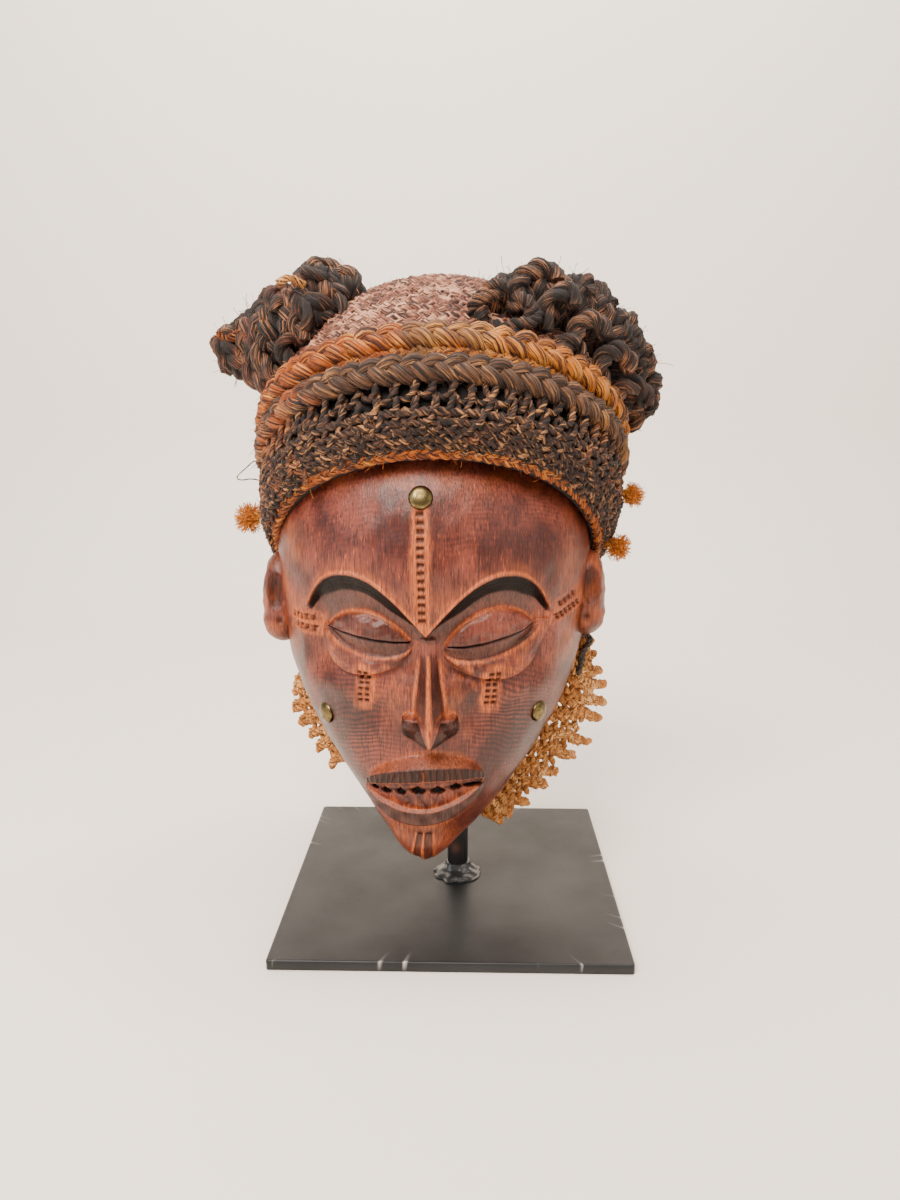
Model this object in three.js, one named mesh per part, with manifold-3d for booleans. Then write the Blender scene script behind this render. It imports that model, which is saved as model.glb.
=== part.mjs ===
// A carved wooden mask with a knotted fibre headdress, held up on a steel rod and a square foot plate.
// Millimetres, +Z up. The origin is the centre of the plate's underside, and the face looks along -Y.
import * as THREE from 'three';
import * as BufferGeometryUtils from 'three/addons/utils/BufferGeometryUtils.js';
import Module from 'manifold-3d';

const wasm = await Module();
wasm.setup();

// Stand
const plateSide = 200;
const plateThick = 6;
const plateCorner = 1.5;
const rodRadius = 6.5;
const rodX = 3;
const weldRadius = 14;
const weldHeight = 8;
const crossbarZ = 268;
const crossbarRadius = 4;
const crossbarReach = 80;

// Gap that touching pieces keep, and overshoot of a cutting shape past what it cuts
const gap = 0.3;
const past = 30;

// Mask: everything below is measured from the mask's own centre line
const maskCentreX = -12;
const wall = 9;
const shellColumns = 42;
const chinZ = 38.5;
const domeZ = 296;

// Carving: brows
const browMiddleX = -1.4;
const browPeakX = 43;
const browPeakZ = 212.5;
const browFootZ = 179.5;
const browEndX = 68;
const browEndZ = 191.5;
const browBand = 9.3;
const browBandLeast = 1.5;
const socketDepth = 7.5;

// Carving: eyes, the left one first, as heights above and below the slit.
// eyeStep is half the height of the cut edges at the slit and at the bag's foot.
const slitInnerX = 11.5;
const slitLength = 47;
const eyeStep = 0.5;
const slits = [{ z: 174.6, rise: 5.4, power: 1.6 }, { z: 172.1, rise: 9.4, power: 1.7 }];
const upperLids = [
  { x: 36.3, halfLength: 25.3, height: 14.4, power: 0.8, skew: 0 },
  { x: 35.3, halfLength: 26.5, height: 17.5, power: 0.8, skew: 0 },
];
const lowerLids = [
  { x: 34.5, halfLength: 25, height: 9.4, power: 0.6, skew: 0 },
  { x: 36, halfLength: 28, height: 8.9, power: 0.5, skew: 0 },
];
const eyeBags = [
  { x: 37.5, halfLength: 27.5, height: 21, power: 0.45, skew: 0.27 },
  { x: 37.8, halfLength: 29.8, height: 22, power: 0.42, skew: 0.35 },
];
const lidProud = 7;
const lowerLidProud = 5.6;
const lowerLidFoot = 2.5;
const bagProud = 3.2;

// Carving: nose and mouth
const noseTopZ = 171;
const noseTipZ = 127;
const noseBottomZ = 120.3;
const noseBottomCurve = 0.022;
const noseTipHeight = 18;
const noseTopHalf = 4.5;
const noseFootHalf = 10.5;
const noseUnder = 3;
const nostril = { x: 9, z: 128.5, halfWidth: 6.8, halfHeight: 6.6, proud: 10, underside: 6 };
const mouthX = -3;
const mouthZ = 91.3;
const mouthTilt = 0.099;
const mouthHalfWidth = 33;
const lipProud = 8;
const lowerLipShare = 0.95;
const openingDepth = 5;
const undercut = 2;
const stepHeight = 0.8;

// Lines of the mouth: height over its corners and how full each line's curve is
const lipTop = { height: 19.9, power: 0.5 };
const lipBreak = { height: 13.5, power: 0.48 };
const openingTop = { height: 5.9, power: 0.6 };
const openingFoot = { height: -13.3, power: 1 };
const lipFoot = { height: -21.4, power: 0.78 };

// Hollows beside the nose, and the chin that stands forward
const cheekHollow = { x: 26, z: 138, wide: 12, high: 16, height: -3.5 };
const chinSwell = { x: -3.5, z: 50, wide: 16, high: 9, height: 4 };

// Tacks
const tackRadius = 6.3;
const tackDome = 2.4;
const tackRim = 0.5;
const tackSunk = 2;

// Headdress. A plait follows a ring of the cap, from 0 at its edge to 1 at its crown, and dips at the sides.
const capCentreX = 4.5;
const capWall = 8;
const capDip = 2;
const edgeClear = 1;
const capColumns = 32;
const capLoops = 9;
const edgeBraid = { row: 0.01, dip: 0, radius: 4, proud: 1.5, lift: -1, reach: 1.78, steps: 26, twist: 1.6 };
const wholeRing = { lift: 0, reach: Math.PI, steps: 36, twist: 1.8 };
const lowerPlait = { row: 0.388, dip: 0.02, radius: 6.5, proud: 2, ...wholeRing };
const upperPlait = { row: 0.517, dip: 0.065, radius: 7, proud: 3.5, ...wholeRing };
const strandRise = 0.09;
const bunKnot = 3;
const bunValley = 2;

// Net collar
const collarThick = 2;
const collarStandoff = 1.2;
const fingerDepth = 0.26;
const collarSlant = Math.PI / 6;

// Colours
const colours = {
  steel: 0x3f3f40,
  wood: 0x8a4a38,
  brass: 0x8f7f45,
  darkFibre: 0x4a3e36,
  tanFibre: 0xb98550,
  orangeFibre: 0xc0713a,
  netFibre: 0xc98338,
};

const { clamp, lerp, smoothstep } = THREE.MathUtils;

// Value of a smooth curve at a parameter from 0 to 1, its points given as equally long rows
function alongRows(rows, t) {
  const place = clamp(t, 0, 1) * (rows.length - 1);
  const i = Math.min(Math.floor(place), rows.length - 2);
  const w = place - i;
  const before = rows[Math.max(i - 1, 0)];
  const after = rows[Math.min(i + 2, rows.length - 1)];
  return rows[i].map((p1, k) => {
    const p2 = rows[i + 1][k];
    const slope1 = (p2 - before[k]) / 2;
    const slope2 = (after[k] - p1) / 2;
    const w2 = w * w;
    const w3 = w2 * w;
    return (2 * w3 - 3 * w2 + 1) * p1 + (w3 - 2 * w2 + w) * slope1
      + (3 * w2 - 2 * w3) * p2 + (w3 - w2) * slope2;
  });
}

// Closed skin through loops of points: each loop is a list of [x, y, z], and both ends close on a point
function skin(loops) {
  const count = loops[0].length;
  const middle = (loop) => [0, 1, 2].map((k) => loop.reduce((sum, p) => sum + p[k], 0) / count);
  const points = [middle(loops[0]), ...loops.flat(), middle(loops[loops.length - 1])];
  const last = points.length - 1;
  const faces = [];
  for (let j = 0; j < count; j += 1) {
    const next = (j + 1) % count;
    faces.push(0, 1 + next, 1 + j);
    for (let i = 0; i < loops.length - 1; i += 1) {
      const a = 1 + i * count + j;
      const b = 1 + i * count + next;
      faces.push(a, b, a + count, b, b + count, a + count);
    }
    const top = 1 + (loops.length - 1) * count;
    faces.push(last, top + j, top + next);
  }
  const geometry = new THREE.BufferGeometry();
  geometry.setAttribute('position', new THREE.Float32BufferAttribute(points.flat(), 3));
  geometry.setIndex(faces);
  return signedVolume(geometry) < 0 ? turnedOver(geometry) : geometry;
}

function signedVolume(geometry) {
  const position = geometry.getAttribute('position');
  const index = geometry.getIndex();
  const corner = [new THREE.Vector3(), new THREE.Vector3(), new THREE.Vector3()];
  let sum = 0;
  for (let i = 0; i < index.count; i += 3) {
    corner.forEach((v, k) => v.fromBufferAttribute(position, index.getX(i + k)));
    sum += corner[0].dot(corner[1].cross(corner[2]));
  }
  return sum / 6;
}

function turnedOver(geometry) {
  geometry.setIndex(Array.from(geometry.getIndex().array).reverse());
  return geometry;
}

// Booleans
function toSolid(geometry) {
  const plain = geometry.clone();
  plain.deleteAttribute('normal');
  plain.deleteAttribute('uv');
  const merged = BufferGeometryUtils.mergeVertices(plain, 1e-4);
  return new wasm.Manifold(new wasm.Mesh({
    numProp: 3,
    vertProperties: new Float32Array(merged.getAttribute('position').array),
    triVerts: new Uint32Array(merged.getIndex().array),
  }));
}

function toGeometry(solid) {
  const mesh = solid.getMesh();
  const geometry = new THREE.BufferGeometry();
  geometry.setAttribute('position', new THREE.BufferAttribute(new Float32Array(mesh.vertProperties), 3));
  geometry.setIndex(new THREE.BufferAttribute(new Uint32Array(mesh.triVerts), 1));
  return geometry;
}

function largestPiece(solid) {
  return solid.decompose().sort((a, b) => b.volume() - a.volume())[0];
}

function joined(solids) {
  return solids.reduce((whole, next) => whole.add(next));
}

// A sphere's mesh scaled, turned and moved: the start of the ears, lumps and tassels
function lump(centre, radii, turnY = 0, across = 10, down = 8) {
  return new THREE.SphereGeometry(1, across, down)
    .scale(...radii)
    .rotateY(turnY)
    .translate(...centre);
}

// The wooden shell. Each row is height, half width, front depth and the rim's depth.
const shellRows = [
  [chinZ, 5, -46, -26],
  [43, 13, -51, -22],
  [50, 21.5, -55, -18],
  [62, 34, -59, -13],
  [78, 47.5, -62, -6],
  [98, 63, -64, 4],
  [122, 78, -65, 12],
  [146, 88, -67, 18],
  [170, 94, -70, 22],
  [196, 96, -75, 22],
  [222, 96, -77, 22],
  [246, 91, -73, 22],
  [266, 79, -65, 22],
  [282, 60, -50, 22],
  [292, 36, -30, 22],
  [domeZ, 8, -4, 22],
];

// Shell section at a height, found on the curve through the rows
function shellAt(z) {
  let low = 0;
  let high = 1;
  for (let i = 0; i < 24; i += 1) {
    const mid = (low + high) / 2;
    if (alongRows(shellRows, mid)[0] < z) low = mid;
    else high = mid;
  }
  return alongRows(shellRows, (low + high) / 2);
}

// Height of the brow's edge at a distance from the middle
function browEdge(side) {
  if (side < browPeakX) {
    return browFootZ + (browPeakZ - browFootZ) * Math.sin((Math.PI / 2) * (side / browPeakX));
  }
  const t = Math.min(1, (side - browPeakX) / (browEndX - browPeakX));
  return browPeakZ - (browPeakZ - browEndZ) * t ** 2.7;
}

// Foot of the dark bevel under the brow
function bandFoot(side) {
  const width = smoothstep(side, 0, 24) * (1 - 0.85 * smoothstep(side, 54, browEndX - 1));
  return browEdge(side) - browBandLeast - (browBand - browBandLeast) * width;
}

// A value that differs between the left and the right eye, changing from one to the other over the nose
function ofBoth([left, right], value, x) {
  return lerp(value(left), value(right), smoothstep(x, -10, 10));
}

function slitLine(side, x) {
  const t = clamp((side - slitInnerX) / slitLength, 0, 1.15);
  return ofBoth(slits, ({ z, rise, power }) => z + rise * t ** power, x);
}

// Height of one of the eyes' outlines over or under the slit at a distance from the middle
function lens(pair, side, x) {
  return ofBoth(pair, ({ x: middle, halfLength, height, power, skew }) => {
    const u = (side - middle) / halfLength;
    return height * Math.max(0, 1 - u * u) ** power * (1 + skew * u);
  }, x);
}

// The eye: a lid that swells to the slit, a lower lid that leans in, and a rounded bag below it
function eyeRelief(x, z) {
  const side = Math.abs(x);
  const up = z - slitLine(side, x);
  const top = lens(upperLids, side, x);
  const foot = lens(lowerLids, side, x);
  const bag = lens(eyeBags, side, x);
  const ends = Math.min(1, top / 15) ** 0.6;
  if (up > eyeStep) return up < top ? lidProud * ends * Math.sqrt(1 - (up / top) ** 2) : 0;
  if (up > eyeStep - foot) return ends * lerp(lowerLidProud, lowerLidFoot, clamp(up / -foot, 0, 1));
  if (up < -bag - eyeStep) return 0;
  const t = clamp((-foot - up) / Math.max(bag - foot, eyeStep), 0, 1);
  return Math.min(1, bag / 19) * (lowerLidFoot + bagProud * Math.sin(Math.PI * (0.1 + 0.72 * t)));
}

// How far the surface sinks below the brow, around the eye
function socketRelief(side, z) {
  const below = browEdge(side) - z;
  if (below <= 0) return 0;
  const bandHeight = browEdge(side) - bandFoot(side);
  const band = Math.min(1, below / bandHeight) * socketDepth * 0.7;
  const hollow = smoothstep(below, bandHeight, bandHeight + 12) * socketDepth * 0.3;
  const floor = smoothstep(z, 142, 166);
  const edge = 1 - smoothstep(side, browEndX - 4, browEndX + 5);
  return -(band + hollow) * floor * edge;
}

// The nose's bottom line, which rises to its wings
function noseBottom(x) {
  return noseBottomZ + noseBottomCurve * Math.min(Math.abs(x), 18) ** 2;
}

function noseRelief(x, z) {
  const middle = lerp(0.5, -0.4, clamp((z - noseTipZ) / (noseTopZ - noseTipZ), 0, 1));
  const side = Math.abs(x - middle);
  const fall = clamp((noseTopZ + 6 - z) / (noseTopZ + 6 - noseTipZ), 0, 1);
  const bottom = noseBottom(x);
  const underside = smoothstep(z, bottom - noseUnder, bottom);
  const halfWidth = lerp(noseTopHalf, noseFootHalf, fall ** 2.2);
  const ridge = noseTipHeight * fall ** 1.15 * Math.max(0, 1 - side / halfWidth) ** 0.75;
  const wingUp = Math.abs(z - nostril.z) / nostril.halfHeight;
  const wingOut = Math.abs(side - nostril.x) / nostril.halfWidth;
  const full = Math.max(0, 1 - (z > nostril.z ? wingUp ** 2.6 : 0) - wingOut ** 2.6);
  const lean = clamp((z - bottom) / nostril.underside, 0, 1);
  const wing = nostril.proud * Math.sqrt(full) * lerp(0.4, 1, lean);
  return Math.max(ridge, wing) * underside;
}

// Height of one of the mouth's lines
function mouthLine({ height, power }, x, least = 0) {
  const t = (x - mouthX) / mouthHalfWidth;
  const corners = mouthZ + mouthTilt * mouthHalfWidth * clamp(t, -1, 1);
  return corners + height * Math.max(least, 1 - t * t) ** power;
}

function mouthRelief(x, z) {
  const t = (x - mouthX) / mouthHalfWidth;
  if (Math.abs(t) >= 1) return 0;
  const top = mouthLine(lipTop, x);
  const edge = mouthLine(lipBreak, x);
  const foot = mouthLine(lipFoot, x);
  const proud = lipProud * (1 - t * t) ** 0.3;
  const sunk = openingDepth * Math.min(1, 1.4 * (1 - t * t));
  if (z > top || z < foot - undercut) return 0;
  if (z > edge) return (proud * (top - z)) / (top - edge);
  if (z > mouthLine(openingTop, x) - stepHeight / 2) return proud;
  if (z > mouthLine(openingFoot, x) + stepHeight / 2) return proud - sunk;
  return proud * lowerLipShare * clamp((z - foot + undercut) / undercut, 0, 1);
}

// A soft swelling or hollow of the surface
function swell({ x, z, wide, high, height }, atX, atZ) {
  return height * Math.exp(-(((atX - x) / wide) ** 2) - ((atZ - z) / high) ** 2);
}

function carving(x, z) {
  const side = sideOf(x);
  const nose = noseRelief(x, z);
  const soft = swell(cheekHollow, Math.abs(x), z) + swell(chinSwell, x, z);
  const face = socketRelief(side, z) + eyeRelief(x, z) + mouthRelief(x, z) + soft;
  return nose > 0 ? Math.max(face, nose + Math.min(0, face) * 0.6) : face;
}

// Distance from the middle line of the brows
function sideOf(x) {
  return Math.abs(x - browMiddleX);
}

// Heights that the rows of the skin follow at a place across the face, each with the rows up to the next.
// They run along the lips, lids and brows, so that a few rows carry sharp edges.
function rowLines(x) {
  const side = sideOf(x);
  const eyeSide = clamp(Math.abs(x), 12, 64);
  const slit = slitLine(eyeSide, x);
  const [lid, low, bag] = [upperLids, lowerLids, eyeBags].map((pair) => lens(pair, eyeSide, x));
  const lines = [
    [chinZ, 3],
    [52, 2],
    [mouthLine(lipFoot, x, 0.08) - undercut, 1],
    [mouthLine(lipFoot, x, 0.08), 2],
    [mouthLine(openingFoot, x, 0.08), 1],
    [mouthLine(openingFoot, x, 0.08) + stepHeight, 2],
    [mouthLine(openingTop, x, 0.08) - stepHeight, 1],
    [mouthLine(openingTop, x, 0.08), 1],
    [mouthLine(lipBreak, x, 0.08), 1],
    [mouthLine(lipTop, x, 0.08), 2],
    [noseBottom(x) - noseUnder, 1],
    [noseBottom(x), 2],
    [nostril.z, 2],
    [nostril.z + nostril.halfHeight, 2],
    [slit - Math.max(bag, low + 3) - 2 * eyeStep, 1],
    [slit - Math.max(bag, low + 3), 2],
    [slit - Math.max(low, 2), 2],
    [slit, 1],
    [slit + 2 * eyeStep, 2],
    [slit + Math.max(lid, 2), 2],
    [bandFoot(side), 2],
    [browEdge(side), 2],
    [224, 2],
    [246, 4],
    [286, 2],
    [domeZ, 0],
  ];
  for (let i = 1; i < lines.length; i += 1) {
    lines[i][0] = Math.max(lines[i][0], lines[i - 1][0] + 0.25 * lines[i - 1][1]);
  }
  return lines;
}

function rowHeights(x) {
  return rowLines(x).flatMap(([z, steps], i, all) => {
    if (steps === 0) return [z];
    return Array.from({ length: steps }, (_, k) => lerp(z, all[i + 1][0], k / steps));
  });
}

// One row of the shell's skin: round in front, straight behind. A carved row follows the carving's lines,
// and a plain one stays level.
function shellLoop(row, columns, inset, carved, rimBack, level) {
  const front = [];
  for (let j = 0; j <= columns; j += 1) {
    const t = (2 * j) / columns - 1;
    const angle = (Math.PI / 2) * (carved ? 0.5 * t + 0.5 * t ** 3 : t);
    let z = level;
    let x = 0;
    for (let pass = 0; carved && pass < 5; pass += 1) {
      z = rowHeights(x)[row];
      x = shellAt(z)[1] * Math.sin(angle);
    }
    const [, halfWidth, frontY, rim] = shellAt(z);
    const a = Math.max(halfWidth - inset, 0.5);
    const depth = Math.max(rim - frontY - inset, 0.5);
    const out = carved ? carving(x, z) : 0;
    const nx = Math.sin(angle) / a;
    const ny = -Math.cos(angle) / depth;
    const long = Math.hypot(nx, ny);
    const lean = -3.2 * (1 - smoothstep(z, 40, 80));
    const across = a * Math.sin(angle) + lean + (out * nx) / long;
    front.push([across, rim - depth * Math.cos(angle) + (out * ny) / long, z]);
  }
  const backs = 3;
  const [right, left] = [front[columns], front[0]];
  const loop = [...front];
  if (rimBack > 0) loop.push([right[0], right[1] + rimBack, right[2]]);
  for (let j = 1; j < backs; j += 1) {
    loop.push([0, 1, 2].map((k) => lerp(right[k], left[k], j / backs) + (k === 1 ? rimBack : 0)));
  }
  if (rimBack > 0) loop.push([left[0], left[1] + rimBack, left[2]]);
  return loop;
}

function carvedSkin() {
  const rows = rowHeights(0).length;
  return skin(Array.from({ length: rows }, (_, row) => shellLoop(row, shellColumns, 0, true, 0)));
}

// The shell without its carving, its skin moved in or out
function plainSkin(inset, columns, rows) {
  const outset = Math.max(0, -inset);
  return skin(Array.from({ length: rows + 1 }, (_, i) => {
    const t = (1 - Math.cos((Math.PI * i) / rows)) / 2;
    const z = lerp(chinZ - outset, domeZ + outset, t);
    return shellLoop(0, columns, inset, false, 0, z);
  }));
}

// The hollow behind the face: the shell's inside, ended below its dome and run out behind the rim
function hollowSkin(thickness) {
  const rows = 12;
  const [low, high] = [chinZ + 14, domeZ - thickness];
  return skin(Array.from({ length: rows + 1 }, (_, i) => {
    const z = lerp(low, high, Math.sin((Math.PI / 2) * (i / rows)));
    const near = clamp((domeZ - z) / 40, 0, 1);
    return shellLoop(0, 14, thickness * lerp(1.25, 1, near), false, past, z);
  }));
}

function earBody(side, grow) {
  const outer = toSolid(lump([side * 92.5, 2, 188], [11.5 + grow, 18 + grow, 27.5 + grow], 0, 12, 10));
  const lobe = toSolid(lump([side * 94, -2, 168], [7 + grow, 10 + grow, 8 + grow]));
  return outer.add(lobe);
}

function ear(side) {
  const concha = toSolid(lump([side * 92.5, -19, 193], [7.5, 12, 14]));
  return earBody(side, 0).subtract(concha);
}

// The uncarved outside of the wood, grown by the gap: what the headdress is cut clear of
function woodClear() {
  return joined([toSolid(plainSkin(-gap * 3, 20, 22)), earBody(-1, gap), earBody(1, gap)]);
}

function woodFace() {
  const outer = toSolid(carvedSkin());
  const whole = joined([outer, ear(-1), ear(1)]);
  const carved = whole.subtract(toSolid(hollowSkin(wall)));
  const seats = tackPlaces.map((place) => toSolid(tackGeometry(place, gap)));
  return seats.reduce((solid, seat) => solid.subtract(seat), carved);
}

// Domed brass tacks, square to the wood where they sit
const tackPlaces = [
  { name: 'tack_forehead', x: -3.7, z: 254 },
  { name: 'tack_left_cheek', x: -61, z: 126.5 },
  { name: 'tack_right_cheek', x: 62.3, z: 128 },
];

function tackGeometry({ x, z }, grow) {
  const [, halfWidth, front, rim] = shellAt(z);
  const slope = Math.asin(clamp(x / halfWidth, -1, 1));
  const depth = rim - front;
  const y = rim - depth * Math.cos(slope);
  const frontSlope = (shellAt(z + tackRadius)[2] - shellAt(z - tackRadius)[2]) / (2 * tackRadius);
  const normal = new THREE.Vector3(Math.sin(slope) / halfWidth, -Math.cos(slope) / depth, 0).normalize();
  normal.z = -frontSlope * normal.y;
  normal.normalize();
  const bed = tackRadius + grow;
  const profile = [new THREE.Vector2(0, -tackSunk - grow), new THREE.Vector2(bed, -tackSunk - grow)];
  for (let i = 0; i <= 3; i += 1) {
    const lift = (i / 3) * (Math.PI / 2);
    profile.push(new THREE.Vector2(bed * Math.cos(lift), tackRim + (tackDome + grow) * Math.sin(lift)));
  }
  profile[profile.length - 1].x = 0;
  const turn = new THREE.Quaternion().setFromUnitVectors(new THREE.Vector3(0, 1, 0), normal);
  return new THREE.LatheGeometry(profile, 12).applyQuaternion(turn).translate(x, y, z);
}

// The cap: tilted rings from the front edge to the crown.
// Each row is the ring's front y and z, its half width, and its back y and z.
const capRows = [
  [-75, 276.5, 102, 98, 158],
  [-80, 287, 106, 108, 172],
  [-77, 302, 106, 114, 200],
  [-64, 324, 103, 112, 236],
  [-48, 340, 97, 102, 268],
  [-24, 358, 80, 84, 305],
  [2, 370.5, 54, 63, 340],
  [23, 374.5, 22, 40, 365],
];

function capPoint(row, angle, proud) {
  const [frontY, frontZ, halfWidth, backY, backZ] = alongRows(capRows, row);
  const s = Math.sin(angle);
  const c = Math.cos(angle);
  const midY = (frontY + backY) / 2;
  const midZ = (frontZ + backZ) / 2;
  const span = Math.hypot(backY - frontY, backZ - frontZ) / 2;
  const k = 1 + proud / Math.max(span, 10);
  const rise = row > 0.55 ? proud * smoothstep(row, 0.55, 0.9) : 0;
  const dip = capDip * s * s * (1 - smoothstep(row, 0, 0.4));
  return [
    capCentreX + (halfWidth + proud) * s,
    midY + (frontY - midY) * k * c,
    midZ + (frontZ - midZ) * k * c - dip + rise,
  ];
}

// Skin of the cap, moved in or out. A skin with a tail also runs on past the edge, as a cutting shape does.
function capSkin(proud, columns, rows, tail = 0) {
  const ring = (row, back, down) => Array.from({ length: columns }, (_, j) => {
    const [x, y, z] = capPoint(row, (j / columns) * 2 * Math.PI, proud);
    return [x, y - back, z - down];
  });
  const loops = Array.from({ length: rows + 1 }, (_, i) => ring(i / rows, 0, 0));
  return skin(tail > 0 ? [ring(0, tail * 0.55, tail * 0.85), ...loops] : loops);
}

// A plait: a tube along its ring of the cap, its strands showing as bulges that wind around it
function plaitSkin({ row, dip, radius, proud, lift, reach, steps, twist }, grow) {
  const full = reach === Math.PI;
  const sides = 6;
  const onCap = (angle) => new THREE.Vector3(...capPoint(row - dip * Math.sin(angle) ** 2, angle, proud));
  const loops = Array.from({ length: full ? steps : steps + 1 }, (_, i) => {
    const angle = lerp(-reach, reach, i / steps);
    const here = onCap(angle);
    const along = onCap(angle + 0.02).sub(here).normalize();
    const out = here.clone().sub(new THREE.Vector3(capCentreX, 15, here.z - 10)).normalize();
    const up = new THREE.Vector3().crossVectors(along, out).normalize();
    out.crossVectors(up, along).normalize();
    return Array.from({ length: sides }, (__, j) => {
      const turn = (j / sides) * 2 * Math.PI;
      const r = radius * (1 + strandRise * Math.cos(i * twist + 2 * turn)) + grow;
      return here.clone()
        .addScaledVector(out, r * Math.cos(turn))
        .addScaledVector(up, r * Math.sin(turn) + lift)
        .toArray();
    });
  });
  return full ? ringSkin(loops) : skin(loops);
}

// Skin of a closed ring of loops
function ringSkin(loops) {
  const count = loops[0].length;
  const faces = [];
  loops.forEach((loop, i) => {
    const next = (i + 1) % loops.length;
    loop.forEach((point, j) => {
      const k = (j + 1) % count;
      const [a, b, c, d] = [i * count + j, i * count + k, next * count + j, next * count + k];
      faces.push(a, b, c, b, d, c);
    });
  });
  const geometry = new THREE.BufferGeometry();
  geometry.setAttribute('position', new THREE.Float32BufferAttribute(loops.flat(2), 3));
  geometry.setIndex(faces);
  return signedVolume(geometry) < 0 ? turnedOver(geometry) : geometry;
}

// A bun: a fat roll along a path, the knots of its ropes standing out as offset rows of lumps
function bunSkin(points, radius, grow) {
  const path = new THREE.CatmullRomCurve3(points.map((p) => new THREE.Vector3(...p)));
  const steps = 16;
  const sides = 8;
  const frames = path.computeFrenetFrames(steps);
  return skin(Array.from({ length: steps + 1 }, (_, i) => {
    const centre = path.getPointAt(i / steps);
    const end = Math.sqrt(Math.max(0.06, 1 - Math.abs((2 * i) / steps - 1) ** 4));
    return Array.from({ length: sides }, (__, j) => {
      const turn = (j / sides) * 2 * Math.PI;
      const knot = i % 2 ? bunKnot * Math.cos(4 * turn + (Math.PI * (i - 1)) / 2) : -bunValley;
      const r = (radius + knot) * end + grow;
      return centre.clone()
        .addScaledVector(frames.normals[i], r * Math.cos(turn))
        .addScaledVector(frames.binormals[i], r * Math.sin(turn))
        .toArray();
    });
  }));
}

const buns = [
  {
    name: 'bun_left',
    radius: 21,
    path: [[-126, 31, 332], [-103, 16, 340], [-80, 4, 347], [-64, 4, 359], [-51, 14, 369]],
  },
  {
    name: 'bun_right',
    radius: 19.5,
    path: [[27, -22, 350], [49, -14, 356], [73, -2, 355], [96, 12, 342], [114, 26, 322], [123, 37, 294]],
  },
];

// The net collar: thin panels that stand off the jaw's rim, their outer edge cut into short fingers.
// Each row is height, reach out and back, and how far the outer edge hangs.
function collarSkin({ side, fingers, rows }) {
  const steps = fingers * 4;
  return skin(Array.from({ length: steps + 1 }, (_, i) => {
    const t = i / steps;
    const [z, width, hang] = alongRows(rows, t);
    const [, halfWidth, , rim] = shellAt(z);
    const open = 1 - fingerDepth * (0.5 + 0.5 * Math.cos(t * fingers * 2 * Math.PI));
    const root = halfWidth + collarStandoff;
    const inner = [root, rim - 1, z];
    const [out, back] = [Math.cos(collarSlant), Math.sin(collarSlant)];
    const outer = [root + width * open * out, rim - 1 + width * open * back, z - hang * open];
    return [[inner, -1], [outer, -1], [outer, 1], [inner, 1]].map(([p, face]) => [
      side * (p[0] - face * collarThick * back),
      p[1] + face * collarThick * out,
      p[2],
    ]);
  }));
}

const collars = [
  {
    name: 'net_collar_left',
    side: -1,
    fingers: 4,
    rows: [[134, 4, 0], [118, 16, 2], [106, 17, 3], [94, 16, 4], [85, 11, 4]],
  },
  {
    name: 'net_collar_right',
    side: 1,
    fingers: 11,
    rows: [[160, 6, 0], [146, 15, 4], [130, 30, 9], [112, 38, 11], [94, 33, 13], [78, 25, 14], [64, 18, 12],
      [56, 12, 9]],
  },
];

// A tassel: a short cord end that bursts into a tuft
function tasselSolid({ at: [x, y, z], side, stem, tuft }) {
  const cord = lump([x, y, z], [stem, 3, 3], 0, 6, 4);
  const head = lump([x + side * stem * 0.7, y - 1, z - 1], [tuft, tuft * 0.8, tuft], 0.4, 7, 5);
  return toSolid(cord).add(toSolid(head));
}

const tassels = [
  { name: 'tassel_left', at: [-110, 14, 236], side: -1, stem: 5, tuft: 6 },
  { name: 'tassel_right_upper', at: [115, 16, 250], side: 1, stem: 7, tuft: 4.5 },
  { name: 'tassel_right_lower', at: [106, 8, 219], side: 1, stem: 4, tuft: 8 },
];

// Foot plate with slightly eased edges
function plateGeometry() {
  const ease = 0.5;
  const half = plateSide / 2 - ease - plateCorner;
  const outline = new THREE.Shape();
  outline.moveTo(half, -half - plateCorner);
  [[1, -1], [1, 1], [-1, 1], [-1, -1]].forEach(([sx, sy], i) => {
    const turn = ((i - 1) * Math.PI) / 2;
    outline.absarc(sx * half, sy * half, plateCorner, turn, turn + Math.PI / 2);
  });
  return new THREE.ExtrudeGeometry(outline, {
    depth: plateThick - 2 * ease,
    bevelThickness: ease,
    bevelSize: ease,
    bevelSegments: 1,
    curveSegments: 3,
  }).translate(0, 0, ease);
}

// Rod with its weld bead, up through the hollow to the wood's dome, and the bar it holds the wood with
function standPost() {
  const foot = plateThick + gap;
  const rodHeight = domeZ - foot;
  const rod = new THREE.CylinderGeometry(rodRadius, rodRadius, rodHeight, 16)
    .rotateX(Math.PI / 2)
    .translate(rodX, 0, foot + rodHeight / 2);
  const bulge = [[weldRadius, 0], [weldRadius * 0.86, 1.8], [weldRadius * 0.66, 4]];
  const side = [...bulge, [rodRadius + 0.4, weldHeight]];
  const profile = [[0, 0], ...side, [0, weldHeight]].map((p) => new THREE.Vector2(...p));
  const weld = new THREE.LatheGeometry(profile, 16).rotateX(Math.PI / 2).translate(rodX, 0, foot);
  const bar = new THREE.CylinderGeometry(crossbarRadius, crossbarRadius, 2 * crossbarReach, 8)
    .rotateZ(Math.PI / 2)
    .translate(maskCentreX, 0, crossbarZ);
  const shell = woodClear().subtract(toSolid(hollowSkin(wall + gap))).translate([maskCentreX, 0, 0]);
  return largestPiece(joined([toSolid(rod), toSolid(weld), toSolid(bar)]).subtract(shell));
}

// Materials
function material(colour, roughness, metalness = 0) {
  return new THREE.MeshStandardMaterial({ color: colour, roughness, metalness });
}

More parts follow.
